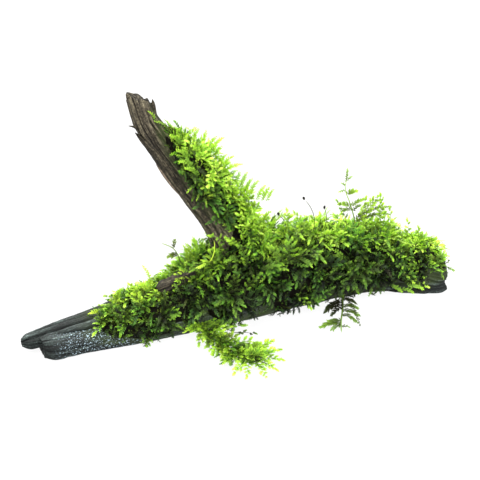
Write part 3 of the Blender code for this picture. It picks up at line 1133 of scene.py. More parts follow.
@dataclass
class Cushion:
    """A cushion of moss: a dark bed, undergrowth, single shoots, fronds in tufts, and listed shoots."""

    name: str
    node: str
    clump: Clump
    tufts: int
    singles: int
    undergrowth: int
    growth: Sequence[tuple[float, float]]  # distances along the limb, and how thick the moss is there
    accents: Sequence[Accent] = ()
    sides: float = 6.0  # how thick it is on its sides
    crest: tuple[float, float, float] = (0.0, 0.0, 1.0)  # where it is thickest
    fringe: Sequence[tuple[float, float]] | None = None  # where it hangs low: distances and half widths
    fronds: int = 3  # in each tuft
    width: float = 6.0
    pairs: int = 5
    leaves: int = 16
    extra_painted_light: float = 0.0  # painted light added over the whole cushion beyond what its place gives, which also makes its shoots denser

    def lower_edge(self, along: Array) -> Array:
        """Finds how far round the log the moss comes down on its front: lower at the fringes.

        Args:
            along: distances along the limb.

        Returns:
            Angles in radians, past a full turn where the moss has no lower edge.
        """
        if self.fringe is None:
            return np.full_like(along, 7.0)
        bumps = [np.exp(-(((along - middle) / half) ** 2)) for middle, half in self.fringe]
        uneven = 7 * noise(along / 5, 0 * along, 77) - 45 * ramp01(along, *BARE_END)
        return np.radians(LOW_EDGE + 36 * np.max(bumps, axis=0) + uneven)

    def thickness(self, along: Array, angle: Array, out: Array) -> Array:
        """How far the moss reaches off the wood, in millimetres.

        Args:
            along: distances along the limb.
            angle: angles round it.
            out: the outward directions there.

        Returns:
            The growth at that distance where the wood faces the crest, down to the sides' own thickness
            where it faces away, and less towards the cushion's rim.
        """
        keys, values = zip(*self.growth)
        most = np.interp(along, keys, values)
        toward = np.clip(out @ unit(np.array(self.crest)), 0, 1) ** 1.2
        rim = np.sqrt(np.clip(self.clump.rim(along, angle), 0.02, 1))
        least = np.minimum(self.sides, most)
        return (least + (most - least) * toward) * (0.45 + 0.55 * rim)

    def bed(self, foliage: Foliage) -> None:
        """Adds the bed: a lumpy tube round the limb, which lies in the wood except under the cushion.

        It stands off the wood by a third of the moss's thickness, with noise that folds it into clods.

        Args:
            foliage: what to add it to.
        """
        clump = self.clump
        run = clump.along + clump.reach * 1.1 * np.sin(np.linspace(-1, 1, BED_RINGS) * math.pi / 2)
        run = np.minimum(run, clump.limb.length)
        angles = np.arange(BED_SIDES) * 2 * math.pi / BED_SIDES
        along, turn = np.meshgrid(run, angles, indexing="ij")
        thick = self.thickness(along, turn, clump.limb.outward(along, turn)[1])
        clods = np.abs(noise(along / 2.6, turn * 12 / math.pi, clump.seed, 24))
        inside = ramp01(clump.rim(along, turn), -0.05, 0.15)
        inside = inside * (1 - ramp01(turn, self.lower_edge(along) - 0.15, self.lower_edge(along)))
        lift = inside * thick * (0.16 + 0.3 * clods) - MAT_SINK * (1 - inside)
        points, faces = tube(clump.limb.surface(along, turn, lift))
        # painted shade: the bed is near black, standing for the shade deep in the cushion as well as the old
        # moss's own dark colour
        age = np.clip(0.01 + 0.10 * clods + 0.02 * np.sin(along + 3 * turn), 0.01, 0.3)
        tint = 0.7 + 0.25 * noise(along / 4, turn * 9 / math.pi, clump.seed + 5, 18)
        colours = np.concatenate([np.stack([age, tint], -1).reshape(-1, 2), [[0.02, 0.5], [0.02, 0.6]]])
        foliage.add(points[None], faces, colours[None])

    def spread(self, count: int, reach: float, draw: np.random.Generator) -> tuple[Array, ...]:
        """Spreads growing spots over the cushion, closest where there is most light.

        Args:
            count: how many spots are tried.
            reach: how far out they go, as a share of the cushion's own reach.
            draw: the random generator.

        Returns:
            Points on the wood, outward directions, directions along the limb, the moss's thickness there
            in one column, and how much light each gets, from 0 to 1 and patchy.
        """
        along, angle = self.clump.spots(count, reach, draw)
        spot, out, way = self.clump.limb.outward(along, angle)
        patch = noise(along / 7, angle * 4, self.clump.seed + 8)
        # the light on each spot is painted into the moss's colour below, through age and tint
        light = np.clip(0.5 + 0.5 * (out @ unit(np.array(LIT_FROM))) + 0.15 * patch + self.extra_painted_light, 0, 1)
        thick = self.thickness(along, angle, out)[:, None]
        chance = (0.25 + 0.9 * light) * np.clip(thick[:, 0] / 2, 0.5, 1)
        keep = (angle < self.lower_edge(along)) & (draw.uniform(0, 1, count) < chance)
        return spot[keep], out[keep], way[keep], thick[keep], light[keep]

    def grow_shoots(self, foliage: Foliage, count: int, tall: bool, draw: np.random.Generator) -> None:
        """Adds shoots all over the cushion: short dark ones on the bed, or longer ones that stand out.

        Args:
            foliage: what to add them to.
            count: how many are tried.
            tall: whether they are the longer ones.
            draw: the random generator.
        """
        spot, out, way, thick, light = self.spread(count, 0.99, draw)
        count = len(spot)
        side = np.cross(out, way)
        turn = draw.uniform(0, 2 * math.pi, (count, 1))
        flat = np.cos(turn) * way + np.sin(turn) * side
        low, high = (5.0, 8.0) if tall else (3.0, 5.0)
        foot = thick * draw.uniform(0.2, 0.5 if tall else 0.35, (count, 1))
        length = draw.uniform(low, high, (count, 1)) * np.clip(0.6 + 0.08 * thick, 0.6, 1)
        rise = np.clip(draw.uniform(0.15, 1.0, (count, 1)) * length, 0, np.maximum(0.95 * thick - foot, 0.8))
        sway = np.sqrt(np.maximum(length**2 - rise**2, 1.0))
        base = spot + out * foot
        run = unit(rise * out + sway * flat + [0, 0, 0.6])
        # painted light and shade: shoots in the light get a lighter, yellower colour, and shaded ones a
        # darker one
        age = 0.02 + 0.56 * light**2.2 if tall else np.maximum(0.12 + 0.22 * light**2, 0.42 - light)
        tint = 0.06 + 0.26 * light if tall else 0.3 + 0.15 * light
        foliage.shoots(
            base,
            base + run * length,
            length * (0.12 * out + draw.normal(0, 0.07, out.shape)),
            unit(out + draw.normal(0, 0.3, out.shape)),
            age + draw.normal(0, 0.13 if tall else 0.05, count),
            np.clip(tint + draw.normal(0, 0.16, count), 0.02, 0.98),
            self.leaves if tall else 7,
            draw,
        )

    def curves(self, draw: np.random.Generator) -> tuple[Array, ...]:
        """Lays out the fronds' stems: they leave the wood outwards and then run off to one side.

        Args:
            draw: the random generator.

        Returns:
            The stems' control points, the directions that the fronds face, the light on them and how far
            their side shoots stand up.
        """
        spread = self.spread(self.tufts, 0.92, draw)
        spot, out, way, thick, light = (np.repeat(values, self.fronds, axis=0) for values in spread)
        count = len(light)
        side = np.cross(out, way)
        turn = np.tile(np.arange(self.fronds) * 2 * math.pi / self.fronds, len(spread[0]))
        turn = turn + np.repeat(draw.uniform(0, 2 * math.pi, len(spread[0])), self.fronds)
        turn = (turn + draw.normal(0, 0.35, count))[:, None]
        run = np.cos(turn) * way + np.sin(turn) * side
        height = thick * draw.uniform(0.4, 0.85, (count, 1))
        length = draw.uniform(7.0, 12.0, (count, 1)) * (0.7 + 0.02 * thick)
        root = spot + out * 0.12 * thick
        first = root + out * 0.5 * height + run * 0.05 * length
        second = root + out * 0.95 * height + run * 0.45 * length
        last = root + out * (0.9 * height - 0.8) + run * length
        curve = np.stack([root, first, second, last], 1)
        curve[:, :, 2] = np.maximum(curve[:, :, 2], 2.2)
        face = unit(out + 0.3 * np.array([0.0, 0.0, 1.0]) + draw.normal(0, 0.25, out.shape))
        return curve, face, light, np.clip(0.9 - 0.035 * thick[:, 0], 0.2, 0.8)

    def build(self, finish: bpy.types.Material, bed_finish: bpy.types.Material, origin: Array) -> list[Any]:
        """Builds the cushion's pieces.

        Args:
            finish: the fronds' material.
            bed_finish: the bed's material.
            origin: where the wood's own origin lies in the frame, in millimetres.

        Returns:
            The bed with its undergrowth, and the shoots and fronds.
        """
        draw = np.random.default_rng(100 + self.clump.seed)
        low, high = Foliage(), Foliage()
        self.bed(low)
        self.grow_shoots(low, self.undergrowth, False, draw)
        self.grow_shoots(high, self.singles, True, draw)
        curve, face, light, rise = self.curves(draw)
        count = len(curve)
        high.fronds(
            curve,
            face,
            self.width * draw.uniform(0.75, 1.15, count),
            # painted light and shade: fronds in the light are given a lighter, yellower colour
            0.02 + 0.54 * light**2.2 + draw.normal(0, 0.09, count),
            np.clip(0.07 + 0.26 * light + draw.normal(0, 0.14, count), 0.02, 0.98),
            self.pairs,
            self.leaves,
            draw,
            rise=rise,
        )
        high.accents(self.accents, draw)
        return [
            low.piece(self.name + "_bed", bed_finish, origin, self.node),
            high.piece(self.name + "_fronds", finish, origin, self.node),
        ]


@dataclass(frozen=True)
class SideShoot:
    """A side branch of a loose shoot: where it leaves the stem, where it ends and how wide it is."""

    share: float
    tip: tuple[float, float, float]
    width: float
    pairs: int = 0
    older: float = 0.0  # how much older it is than the stem


@dataclass
class LooseShoot:
    """A shoot that has grown out of the cushions, with its own stem and side branches."""

    name: str
    node: str
    stem: Sequence[tuple[float, float, float]]
    sides: Sequence[SideShoot]
    radius: float
    age: float
    tint: float
    seed: int
    face: tuple[float, float, float] = (0.0, -0.8, 0.6)
    bushy: int = 0
    leaf: float = 1.0  # how large its leaves are, against their usual size

    def build(self, finish: bpy.types.Material, origin: Array) -> bpy.types.Object:
        """Builds the shoot.

        Args:
            finish: its material.
            origin: where the wood's own origin lies in the frame, in millimetres.

        Returns:
            The finished piece.
        """
        draw = np.random.default_rng(self.seed)
        foliage = Foliage()
        line = np.array(self.stem, float)
        keys = distances(line)
        s = np.linspace(0, 1, 16)
        spine = smooth_curve(keys, line, s * keys[-1])
        foliage.stems(
            spine[None],
            (self.radius * (1 - 0.6 * s))[None],
            (self.age + 0.3 * s)[None],
            np.array([self.tint]),
        )
        for side in self.sides:
            root = smooth_curve(keys, line, np.array([side.share * keys[-1]]))[0]
            self.side(foliage, root, side, draw)
        if self.bushy:
            self.bush(foliage, keys, line, draw)
        return foliage.piece(self.name, finish, origin, self.node)

    def side(self, foliage: Foliage, root: Array, side: SideShoot, draw: np.random.Generator) -> None:
        """Adds one side branch: a frond where it has pairs of shoots, and a leafy shoot where it has none.

        Args:
            foliage: what to add it to.
            root: where it starts.
            side: what it is like.
            draw: the random generator.
        """
        tip = np.array(side.tip, float)
        run = tip - root
        size = np.linalg.norm(run)
        face = np.array([self.face], float)
        age, tint = np.array([self.age - side.older]), np.array([self.tint])
        arch = np.array([[0.0, 0.0, 0.1 * size]])
        if side.pairs:
            curve = np.stack([root, root + run / 3 + arch[0], root + 2 * run / 3 + arch[0], tip])[None]
            width = np.array([side.width])
            foliage.fronds(curve, face, width, age, tint, side.pairs, 16, draw, 0.3, size=self.leaf)
            return
        leaves = int(np.clip(size * 3.2, 10, 60))
        foliage.shoots(root[None], tip[None], arch, face, age, tint, leaves, draw, side.width * self.leaf)

    def bush(self, foliage: Foliage, keys: Array, line: Array, draw: np.random.Generator) -> None:
        """Adds fronds all along the stem, low and spreading, so that the shoot is a bushy tuft.

        Args:
            foliage: what to add them to.
            keys: how far along the stem each of its points lies.
            line: the stem's points.
            draw: the random generator.
        """
        count = self.bushy
        at = draw.uniform(0.12, 0.95, count) * keys[-1]
        root = smooth_curve(keys, line, at)
        further = smooth_curve(keys, line, np.clip(at + 1, 0, keys[-1]))
        ahead = unit(further - smooth_curve(keys, line, at - 1))
        up = np.array([0.0, 0.0, 1.0])
        across = np.cross(ahead, up)
        turn = draw.uniform(-1, 1, (count, 1)) * math.pi * 0.5
        run = unit(np.cos(turn) * ahead + np.sin(turn) * across)
        length = draw.uniform(5, 9, (count, 1))
        rise = draw.uniform(0.0, 0.35, (count, 1)) * up
        steps = (0 * run, 0.3 * (run + rise), 0.65 * run + rise, run + 0.8 * rise)
        curve = np.stack([root + length * step for step in steps], 1)
        curve[:, :, 2] = np.maximum(curve[:, :, 2], 1.6)
        foliage.fronds(
            curve,
            unit(up + draw.normal(0, 0.3, (count, 3))),
            draw.uniform(3.5, 5.5, count),
            self.age + draw.normal(0, 0.1, count) - 0.15,
            np.clip(self.tint + draw.normal(0, 0.12, count), 0.02, 0.98),
            4,
            16,
            draw,
            0.25,
            size=self.leaf,
        )


@dataclass
class Studio:
    """A white sweep, soft lights and the camera at the photograph's angle."""

    azimuth: float = -21.0
    elevation: float = 30.0
    target: tuple[float, float, float] = (0.0, 0.0, 40.0)
    distance: float = 666.7
    lens: float = 100.0
    sensor: float = 36.0

    def build(self, origin: Array) -> None:
        """Sets up the camera, the floor and the lights.

        Args:
            origin: where the wood's own origin lies in the frame, in millimetres.
        """
        target = (np.array(self.target) + origin) * MM
        self.camera(target)
        self.floor()
        self.light("key", (-0.45, -0.25, 0.95), 0.7, 18.0, target)
        self.light("rim", (0.25, 0.8, 0.75), 0.8, 26.0, target)
        self.light("fill", (0.5, -0.8, 0.3), 0.8, 15.0, target)
        world = bpy.data.worlds.new("pale studio")
        world.use_nodes = True
        background = world.node_tree.nodes["Background"]
        background.inputs["Color"].default_value = (1.0, 1.0, 1.0, 1.0)
        background.inputs["Strength"].default_value = 1.7
        bpy.context.scene.world = world
        bpy.context.scene.view_settings.view_transform = "Standard"

    def direction(self) -> Array:
        """The direction from the target to the camera."""
        a, e = math.radians(self.azimuth), math.radians(self.elevation)
        return np.array([math.sin(a) * math.cos(e), -math.cos(a) * math.cos(e), math.sin(e)])

    def camera(self, target: Array) -> None:
        """Puts the camera at its distance from the target, looking at it.

        Args:
            target: what it looks at, in metres.
        """
        data = bpy.data.cameras.new("camera")
        data.lens, data.sensor_width = self.lens, self.sensor
        data.clip_start, data.clip_end = 0.01, 20.0
        made = bpy.data.objects.new("camera", data)
        back = Vector(self.direction())
        turn = back.to_track_quat("Z", "Y").to_matrix().to_4x4()
        made.matrix_world = Matrix.Translation(Vector(target) + back * self.distance * MM) @ turn
        bpy.context.scene.collection.objects.link(made)
        bpy.context.scene.camera = made

    def floor(self) -> None:
        """Lays a wide pale floor at the height that the wood rests on."""
        bpy.ops.mesh.primitive_plane_add(size=8.0)
        made = bpy.context.object
        made.name = "floor"
        made.data.materials.append(StudioFloor().make())
        made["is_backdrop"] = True

    def light(
        self, name: str, place: tuple[float, float, float], size: float, power: float, target: Array
    ) -> None:
        """Hangs a square softbox that faces the target.

        Args:
            name: the light's name.
            place: where it hangs, in metres.
            size: the length of its sides, in metres.
            power: its power in watts.
            target: what it faces.
        """
        data = bpy.data.lights.new(name, "AREA")
        data.energy, data.size = power, size
        made = bpy.data.objects.new(name, data)
        spot = Vector(place)
        turn = (spot - Vector(target)).to_track_quat("Z", "Y").to_matrix().to_4x4()
        made.matrix_world = Matrix.Translation(spot) @ turn
        bpy.context.scene.collection.objects.link(made)


def broken_tip(angles: Array) -> Array:
    """How far the branch's end stands out: a rounded knob on its left that falls away to the right."""
    waves = ((3.1, 1), (-1.4, 2), (-0.6, 3), (-0.5, 4), (0.4, 7))
    return 1.9 + sum(height * np.cos(count * angles) for height, count in waves)


def blunt_end(angles: Array) -> Array:
    """How far a worn end stands out: a little less at its top, and barely uneven."""
    return 0.8 * np.cos(3 * angles + 0.7) + 0.6 * np.cos(5 * angles - 1.1) - 1.2 * np.sin(angles)


LOG_LIMB = Limb(
    [
        (-105, -3.6, 3.6, 6.2, 4.4),
        (-102.5, -3.5, 3.6, 8.6, 4.9),
        (-92, -3.6, 3.6, 9.6, 5.2),
        (-78, -3.2, 3.8, 10.2, 5.8),
        (-62, -2.4, 5.0, 11.4, 9.0),
        (-44, -1.0, 7.4, 13.2, 13.0),
        (-20, 0.9, 8.6, 15.0, 17.0),
        (6, 2.6, 9.4, 16.0, 19.5),
        (34, 3.0, 9.0, 15.6, 18.6),
        (60, 3.0, 8.4, 14.6, 16.8),
        (76, 0.8, 7.8, 14.2, 15.2),
        (92, -6.0, 7.4, 14.4, 13.0),
        (102, -10.6, 6.9, 14.4, 10.8),
        (107, -12.7, 6.0, 13.6, 8.4),
        (109.6, -13.5, 5.4, 11.2, 6.6),
    ],
    (0, 0, 1),
    [(3, 0.03, 0.4, 0.03), (7, 0.022, 1.0, 0.02)],
)
PRONG_LIMB = Limb(
    [
        (-113.6, 1.4, 5.0, 1.6, 1.4),
        (-111.5, 1.4, 5.0, 3.8, 2.4),
        (-106, 1.5, 5.4, 5.5, 2.9),
        (-93, 2.0, 6.6, 7.0, 3.8),
        (-83, 2.0, 7.2, 8.0, 4.2),
        (-73, 2.0, 8.4, 8.5, 4.8),
        (-58, 2.0, 11.0, 8.8, 5.6),
        (-42, 2.2, 14.0, 7.6, 4.8),
        (-30, 2.4, 15.2, 5.4, 3.6),
    ],
    (0, 0, 1),
    [(3, 0.05, 1.2, 0.04), (5, 0.05, 0.2, 0.02)],
)
STUB_LIMB = Limb(
    [
        (-45.2, -4, 23.2, 1.4, 1.2),
        (-43.9, -4, 23.6, 2.7, 2.4),
        (-38, -3.6, 25, 3.1, 2.8),
        (-31, -3, 26.8, 3.3, 3.0),
        (-24, -2, 27.6, 3.2, 3.0),
        (-18, 0, 27.5, 3.0, 2.8),
    ],
    (0, 0, 1),
    [(3, 0.06, 1.0, 0.1), (5, 0.04, 0.2, 0.1)],
)
SPIKE_LIMB = Limb(
    [
        (-38.6, 8.4, 98, 2.6, 1.8),
        (-39.4, 8.4, 105, 2.2, 1.7),
        (-40.0, 8.4, 110, 1.7, 1.5),
        (-40.1, 8.5, 114, 1.35, 1.2),
        (-40.2, 8.6, 117, 0.95, 0.9),
        (-40.5, 8.6, 119.2, 0.25, 0.25),
    ],
    (0, -1, 0),
    [(3, 0.08, 1.0, 0.1)],
)
FLAKE_LIMB = Limb(
    [
        (-20.5, 6, 56, 0.6, 2.0),
        (-23.1, 5.6, 60.4, 1.2, 3.2),
        (-28.2, 5.4, 70.2, 2.0, 3.8),
        (-31.8, 5.4, 76.1, 2.4, 3.8),
        (-36.4, 5.6, 84.6, 2.6, 3.6),
        (-41.5, 5.8, 93.4, 2.2, 3.2),
        (-46.2, 6, 100.2, 1.5, 2.2),
        (-48.6, 6, 103.2, 0.8, 1.2),
        (-50.1, 6, 105, 0.2, 0.3),
    ],
    (0, -1, 0),
    [(5, 0.06, 1.0, 0.05)],
)
RIM_LIMB = Limb(
    [
        (-40.6, 4.6, 87.4, 0.3, 0.5),
        (-38.4, 4.4, 83.8, 0.8, 1.2),
        (-33.7, 4.2, 75.5, 0.9, 1.4),
        (-29.8, 4.2, 69.8, 0.8, 1.2),
        (-26.4, 4.4, 64.8, 0.3, 0.4),
    ],
    (0, -1, 0),
    [(3, 0.06, 1.0, 0.05)],
)
SPLINTER_LIMB = Limb(
    [
        (-45.5, 6, 103, 0.9, 0.8),
        (-48.6, 6, 106.5, 0.6, 0.5),
        (-51.0, 6, 108.3, 0.45, 0.4),
        (-53.2, 6, 109.1, 0.15, 0.15),
    ],
    (0, -1, 0),
    [(3, 0.1, 1.0, 0.0)],
)
BRANCH_LIMB = Limb(
    [
        (6, 3.4, 10, 13.5, 11.0),
        (3.5, 3.8, 26, 13.0, 10.6),
        (-2.5, 4.4, 40, 10.8, 9.4),
        (-9.5, 5.2, 53, 9.2, 8.2),
        (-21.5, 6.4, 72, 8.3, 7.2),
        (-31.5, 7.6, 88, 7.1, 6.4),
        (-39.5, 8.6, 101, 6.3, 5.8),
        (-44.2, 9.0, 110, 5.8, 5.2),
        (-45.8, 9.2, 115.6, 5.2, 4.4),
        (-46.7, 9.3, 118.8, 5.0, 3.6),
    ],
    (0, -1, 0),
    [(3, 0.05, 0.9, 0.015), (8, 0.035, 0.3, 0.01)],
)
SOLID_RINGS, SOLID_SIDES = 18, 22  # how the log's solid is divided, which says where its lowest corner is


# How tall the moss grows, as distances along the limb and heights, both in millimetres.
LOG_GROWTH = (
    (19, 2.5), (24, 4), (27, 6), (31, 8), (35, 4.5), (41, 3.5), (47, 5), (52, 6),
    (57, 2.5), (62, 1), (68, 2), (73, 4.5), (78, 7.5), (83, 11), (88, 14.5), (93, 15.5),
    (105, 18), (118, 21.5), (125, 23.5), (133, 19.5), (139, 21.5), (144, 19), (150, 17), (156, 15),
    (165, 14), (170, 12), (175, 10.5), (179, 12.5), (183, 14), (187, 11), (190, 6.5), (194, 3),
    (199, 4.5), (204, 7), (208, 4.5), (212, 3), (216, 2),
)
BRANCH_GROWTH = (
    (29, 11), (36, 16), (42, 18), (47, 14), (54, 11), (58, 6), (61, 11), (67, 13), (73, 11), (79, 15),
    (83, 13), (87, 9), (90, 5), (94, 3), (99, 2), (104, 1.2), (110, 0.8),
)
FOOT_GROWTH = ((4, 9), (20, 10), (28, 9), (34, 6), (40, 3), (46, 2))
FRINGE = ((51, 12), (85, 9), (124, 5), (158, 7), (195, 8))

BRANCH_SHOOTS = [
    Accent((-27, 6, 96.5), (-26, 4, 102), 0.55, tint=0.45),
    Accent((-24.5, 7, 95.5), (-21, 4, 103.5), 0.62, tint=0.45),
    Accent((-22, 7, 94), (-19.5, 4, 103), 0.65, tint=0.45),
    Accent((-18, 7, 91.5), (-15.5, 5, 100.5), 0.65, tint=0.45),
    Accent((-14, 6, 89), (-11, 3, 97.5), 0.65, tint=0.45),
    Accent((-12, 6, 88), (-7.5, 3, 96.5), 0.68, tint=0.45),
    Accent((-11.5, 5, 86), (-8.5, 2, 92.5), 0.62, tint=0.45),
    Accent((-9, 5, 82), (-6, 3, 87), 0.62, tint=0.45),
    Accent((-7, 6, 79), (-2.5, 3, 85.5), 0.65, tint=0.45),
    Accent((-6.5, 5, 77), (1.5, 2, 81), 0.65, tint=0.45),
    Accent((-3, 5, 73), (-0.5, 3, 77.5), 0.62, tint=0.45),
    Accent((0, 5, 70.5), (1, 3, 76.5), 0.65, tint=0.45),
    Accent((2, 5, 66.5), (4.5, 2, 76), 0.65, tint=0.45),
    Accent((5, 5, 64), (7.5, 2, 72), 0.62, tint=0.45),
    Accent((7, 4, 62), (10, 1, 71), 0.65, tint=0.45),
    Accent((10.5, 3, 59), (13.5, 0, 68), 0.68, tint=0.45),
    Accent((13, 3, 58), (15.5, 0, 66.5), 0.65, tint=0.45),
    Accent((15.5, 3, 57.5), (17.5, 0, 65.5), 0.65, tint=0.45),
    Accent((-30, 0, 98), (-35.5, -2, 104.5), 0.5),
    Accent((-26, -1, 90.5), (-33, -3, 97), 0.5),
    Accent((-25.5, -2, 88), (-33.5, -4, 95), 0.5),
    Accent((-24, -2, 85), (-32, -4, 91.5), 0.48),
    Accent((-22.5, -3, 81.5), (-29.5, -5, 88), 0.5),
    Accent((-24, -3, 77), (-28.8, -5, 75), 0.5, size=0.8, tint=0.4),
    Accent((-22.5, -4, 72.5), (-24.5, -6, 70.4), 0.45, size=0.8, tint=0.5),
    Accent((-20.5, -4, 71), (-18.3, -7, 74), 0.45, size=0.8, tint=0.6),
    Accent((-20.5, -4, 70), (-20, -7, 67.5), 0.45, size=0.8, tint=0.6),
    Accent((-15, -3, 67.5), (-4, -4, 61.5), 0.2, pairs=4, width=3.5, tint=0.1),
    Accent((-19, -3, 76), (-15.5, -5, 73.5), 0.3),
    Accent((-25.5, 0, 93.5), (-21.5, -2, 90.5), 0.3),
    Accent((-17.5, 0, 85), (-11.5, -1, 78.5), 0.25),
    Accent((-23, -1, 85), (-17.5, -2, 78), 0.2),
    Accent((-34, 4, 104), (-41, 3.5, 110.5), 0.4, size=0.8, tint=0.5),
    Accent((-41, 3.5, 110.5), (-44, 3.5, 116), 0.5, size=0.75, tint=0.5),
]
FOOT_SHOOTS = [
    Accent((-11, -8, 40), (-18, -10, 44), 0.5, pairs=3, width=3.0),
    Accent((-5, -8, 41), (-10, -10, 48), 0.5, pairs=4, width=3.0),
    Accent((-1, -8, 44), (-4.5, -10, 52.5), 0.55, pairs=4, width=3.0),
    Accent((3, -7, 46), (0, -9, 56), 0.55, pairs=4, width=3.5),
    Accent((6, -7, 47), (5.5, -9, 57), 0.55, pairs=4, width=3.5),
    Accent((9, -6, 46), (11, -8, 55), 0.5, pairs=3, width=3.5),
    Accent((-21, -12, 38), (-18.5, -13, 51), 0.8, tint=0.9, kind=Growth.BARE),
]
LEFT_SHOOTS = [
    Accent((-48.5, -2, 22.5), (-51.5, -2, 37), 0.6, tint=0.6),
    Accent((-49.5, -2, 21.5), (-55.5, -3, 29), 0.6, tint=0.6),
    Accent((-53, -3, 19), (-58.5, -4, 24), 0.6, tint=0.6),
    Accent((-55.5, -4, 20.5), (-59, -5, 29.5), 0.5, pairs=3, width=3.0, tint=0.6),
    Accent((-64.5, -4, 18.5), (-71, -6, 26), 0.5, pairs=3, width=3.0, tint=0.7),
    Accent((-73.5, -2, 15.5), (-80, -4, 17.5), 0.55, tint=0.8),
    Accent((-66.5, -2, 19), (-64, -4, 27.5), 0.5, tint=0.6),
    Accent((-42.5, 0, 23), (-40.5, -2, 31), 0.45),
    Accent((-36, 0, 27.5), (-42.5, -2, 31), 0.5),
    Accent((-33, 0, 31), (-36, 0, 35), 0.5),
    Accent((-28, 2, 32), (-29, 2, 41.5), 0.5, tint=0.6),
    Accent((-23.5, 2, 31), (-24, 2, 45), 0.5),
    Accent((-26, 2, 31.5), (-28.5, 0, 43.5), 0.5, tint=0.6),
    Accent((-51, -12, 11.5), (-58, -15, 14), 0.35),
    Accent((-52.5, -13, 4.5), (-55, -17, 0.6), 0.45, pairs=3, width=3.0),
    Accent((-44.5, -13, 8), (-38, -17, 7.5), 0.3),
    Accent((-61.5, -10, 11.5), (-67, -13, 10), 0.35),
]
FORK_SHOOTS = [
    Accent((-13, -14, 47.5), (-20.5, -17, 55.5), 0.45, pairs=3, width=3.5),
    Accent((-3, -16, 33.5), (-7.5, -19, 47.5), 0.4, pairs=4, width=4.0),
    Accent((-3.5, -15, 43), (-11, -18, 51.5), 0.4, pairs=3, width=4.0),
    Accent((-7.5, -16, 40), (-15, -19, 41), 0.4),
    Accent((5, -17, 31), (13, -21, 34), 0.35),
    Accent((7, -16, 34.5), (16, -20, 31.5), 0.35, pairs=3, width=3.5),
    Accent((-4.5, -18, 19), (1, -22, 31.5), 0.3, pairs=4, width=4.0),
    Accent((18.5, -15, 26), (10, -18, 42), 0.35, pairs=5, width=4.0),
    Accent((25, -14, 29.5), (25, -18, 40), 0.4),
    Accent((26.5, -15, 32), (31.5, -18, 28), 0.4),
    Accent((8.5, -8, 51), (12, -10, 59), 0.5, tint=0.5),
    Accent((2, -8, 50.5), (-4, -10, 60), 0.45, pairs=3, width=3.5),
    Accent((22.5, -4, 42), (23, -6, 54.5), 0.5, pairs=4, width=4.0, tint=0.5),
    Accent((31, -4, 38.5), (28, -5, 51.5), 0.5, pairs=4, width=4.0, tint=0.5),
    Accent((16.5, -6, 42.5), (8, -9, 53.5), 0.45, pairs=4, width=4.0),
    Accent((-12, -18, 18), (-20.5, -20, 18), 0.3),
    Accent((-15, -18, 7), (-20.5, -22, 1), 0.4, pairs=3, width=3.5),
    Accent((-23.5, -17, 14), (-30.5, -19, 12.5), 0.3),
    Accent((22.5, -17, 13), (30.5, -19, 5), 0.45, pairs=3, width=3.0),
]
RIGHT_SHOOTS = [
    Accent((40, 0, 36.5), (34, -1, 57), 0.3, tint=0.9, kind=Growth.CAPSULE),
    Accent((45, 0, 35.5), (46, 0, 49), 0.3, tint=0.9, kind=Growth.CAPSULE),
    Accent((24, -2, 40), (19.5, -3, 52), 0.3, tint=0.9, kind=Growth.CAPSULE),
    Accent((73.5, 0, 30), (76.5, -2, 50), 0.5, pairs=7, width=4.0, tint=0.4),
    Accent((76, 0, 30), (77.5, -1, 46), 0.5, pairs=6, width=4.0, tint=0.4),
    Accent((58.5, 0, 28), (52.5, -2, 52), 0.3, pairs=5, width=3.0),
    Accent((62, 0, 30), (68, -2, 50), 0.4, pairs=5, width=3.0, tint=0.6),
    Accent((81.5, 0, 25.5), (83.5, 0, 40), 0.5, pairs=3, width=3.0, tint=0.6),
    Accent((35.5, -13, 24.5), (38.5, -16, 35), 0.4),
    Accent((47.5, -13, 21.5), (43, -16, 34), 0.4, arch=0.3),
    Accent((47, -14, 22), (43.5, -16, 20.5), 0.35),
    Accent((25, -15, 19.5), (29.5, -18, 25), 0.35),
    Accent((61.5, -12, 20.5), (63, -15, 32.5), 0.35, pairs=3, width=3.0),
    Accent((79.5, -14, 13), (84.5, -17, 18.5), 0.4),
    Accent((72, -15, 8), (80.5, -17, 3.5), 0.4),
    Accent((90, -6, 24.5), (91, -6, 35), 0.5, pairs=3, width=3.0, tint=0.6),
    Accent((81.5, -17, 8), (93.5, -19, 9), 0.35, pairs=4, width=3.0),
    Accent((50.5, -13, 7), (51.5, -15, 1.5), 0.35),
    Accent((57, -13, 8.5), (60, -15, 3.5), 0.35),
    Accent((68, -14, 6.5), (66, -15.5, 1.5), 0.35),
]
END_SHOOTS = [
    Accent((91.5, -12, 21.5), (93, -14, 34), 0.5, pairs=4, width=4.0, tint=0.5),
    Accent((93, -16, 16), (95, -18, 26.5), 0.4, pairs=4, width=4.0),
    Accent((97, -12, 20), (103, -14, 21.5), 0.5, tint=0.6),
    Accent((99.5, -14, 15.5), (105, -16, 13), 0.5, pairs=2, width=3.0, tint=0.6),
    Accent((82.5, -22, 11), (95, -23.5, 5.5), 0.5, pairs=3, width=2.5, tint=0.5),
    Accent((80.5, -21, 13), (94, -22.5, 11), 0.35, pairs=4, width=3.0),
    Accent((80, -22, 6), (87, -24, 3.5), 0.45),
    Accent((76, -20, 8), (81, -23, 4.5), 0.45),
    Accent((84, -22, 7.5), (92.5, -24, 4.5), 0.5, size=1.3),
    Accent((89.5, -20, 14.5), (79.5, -22, 20), 0.3, pairs=4, width=3.0),
    Accent((98, -18, 19.5), (99, -20, 13), 0.45),
]


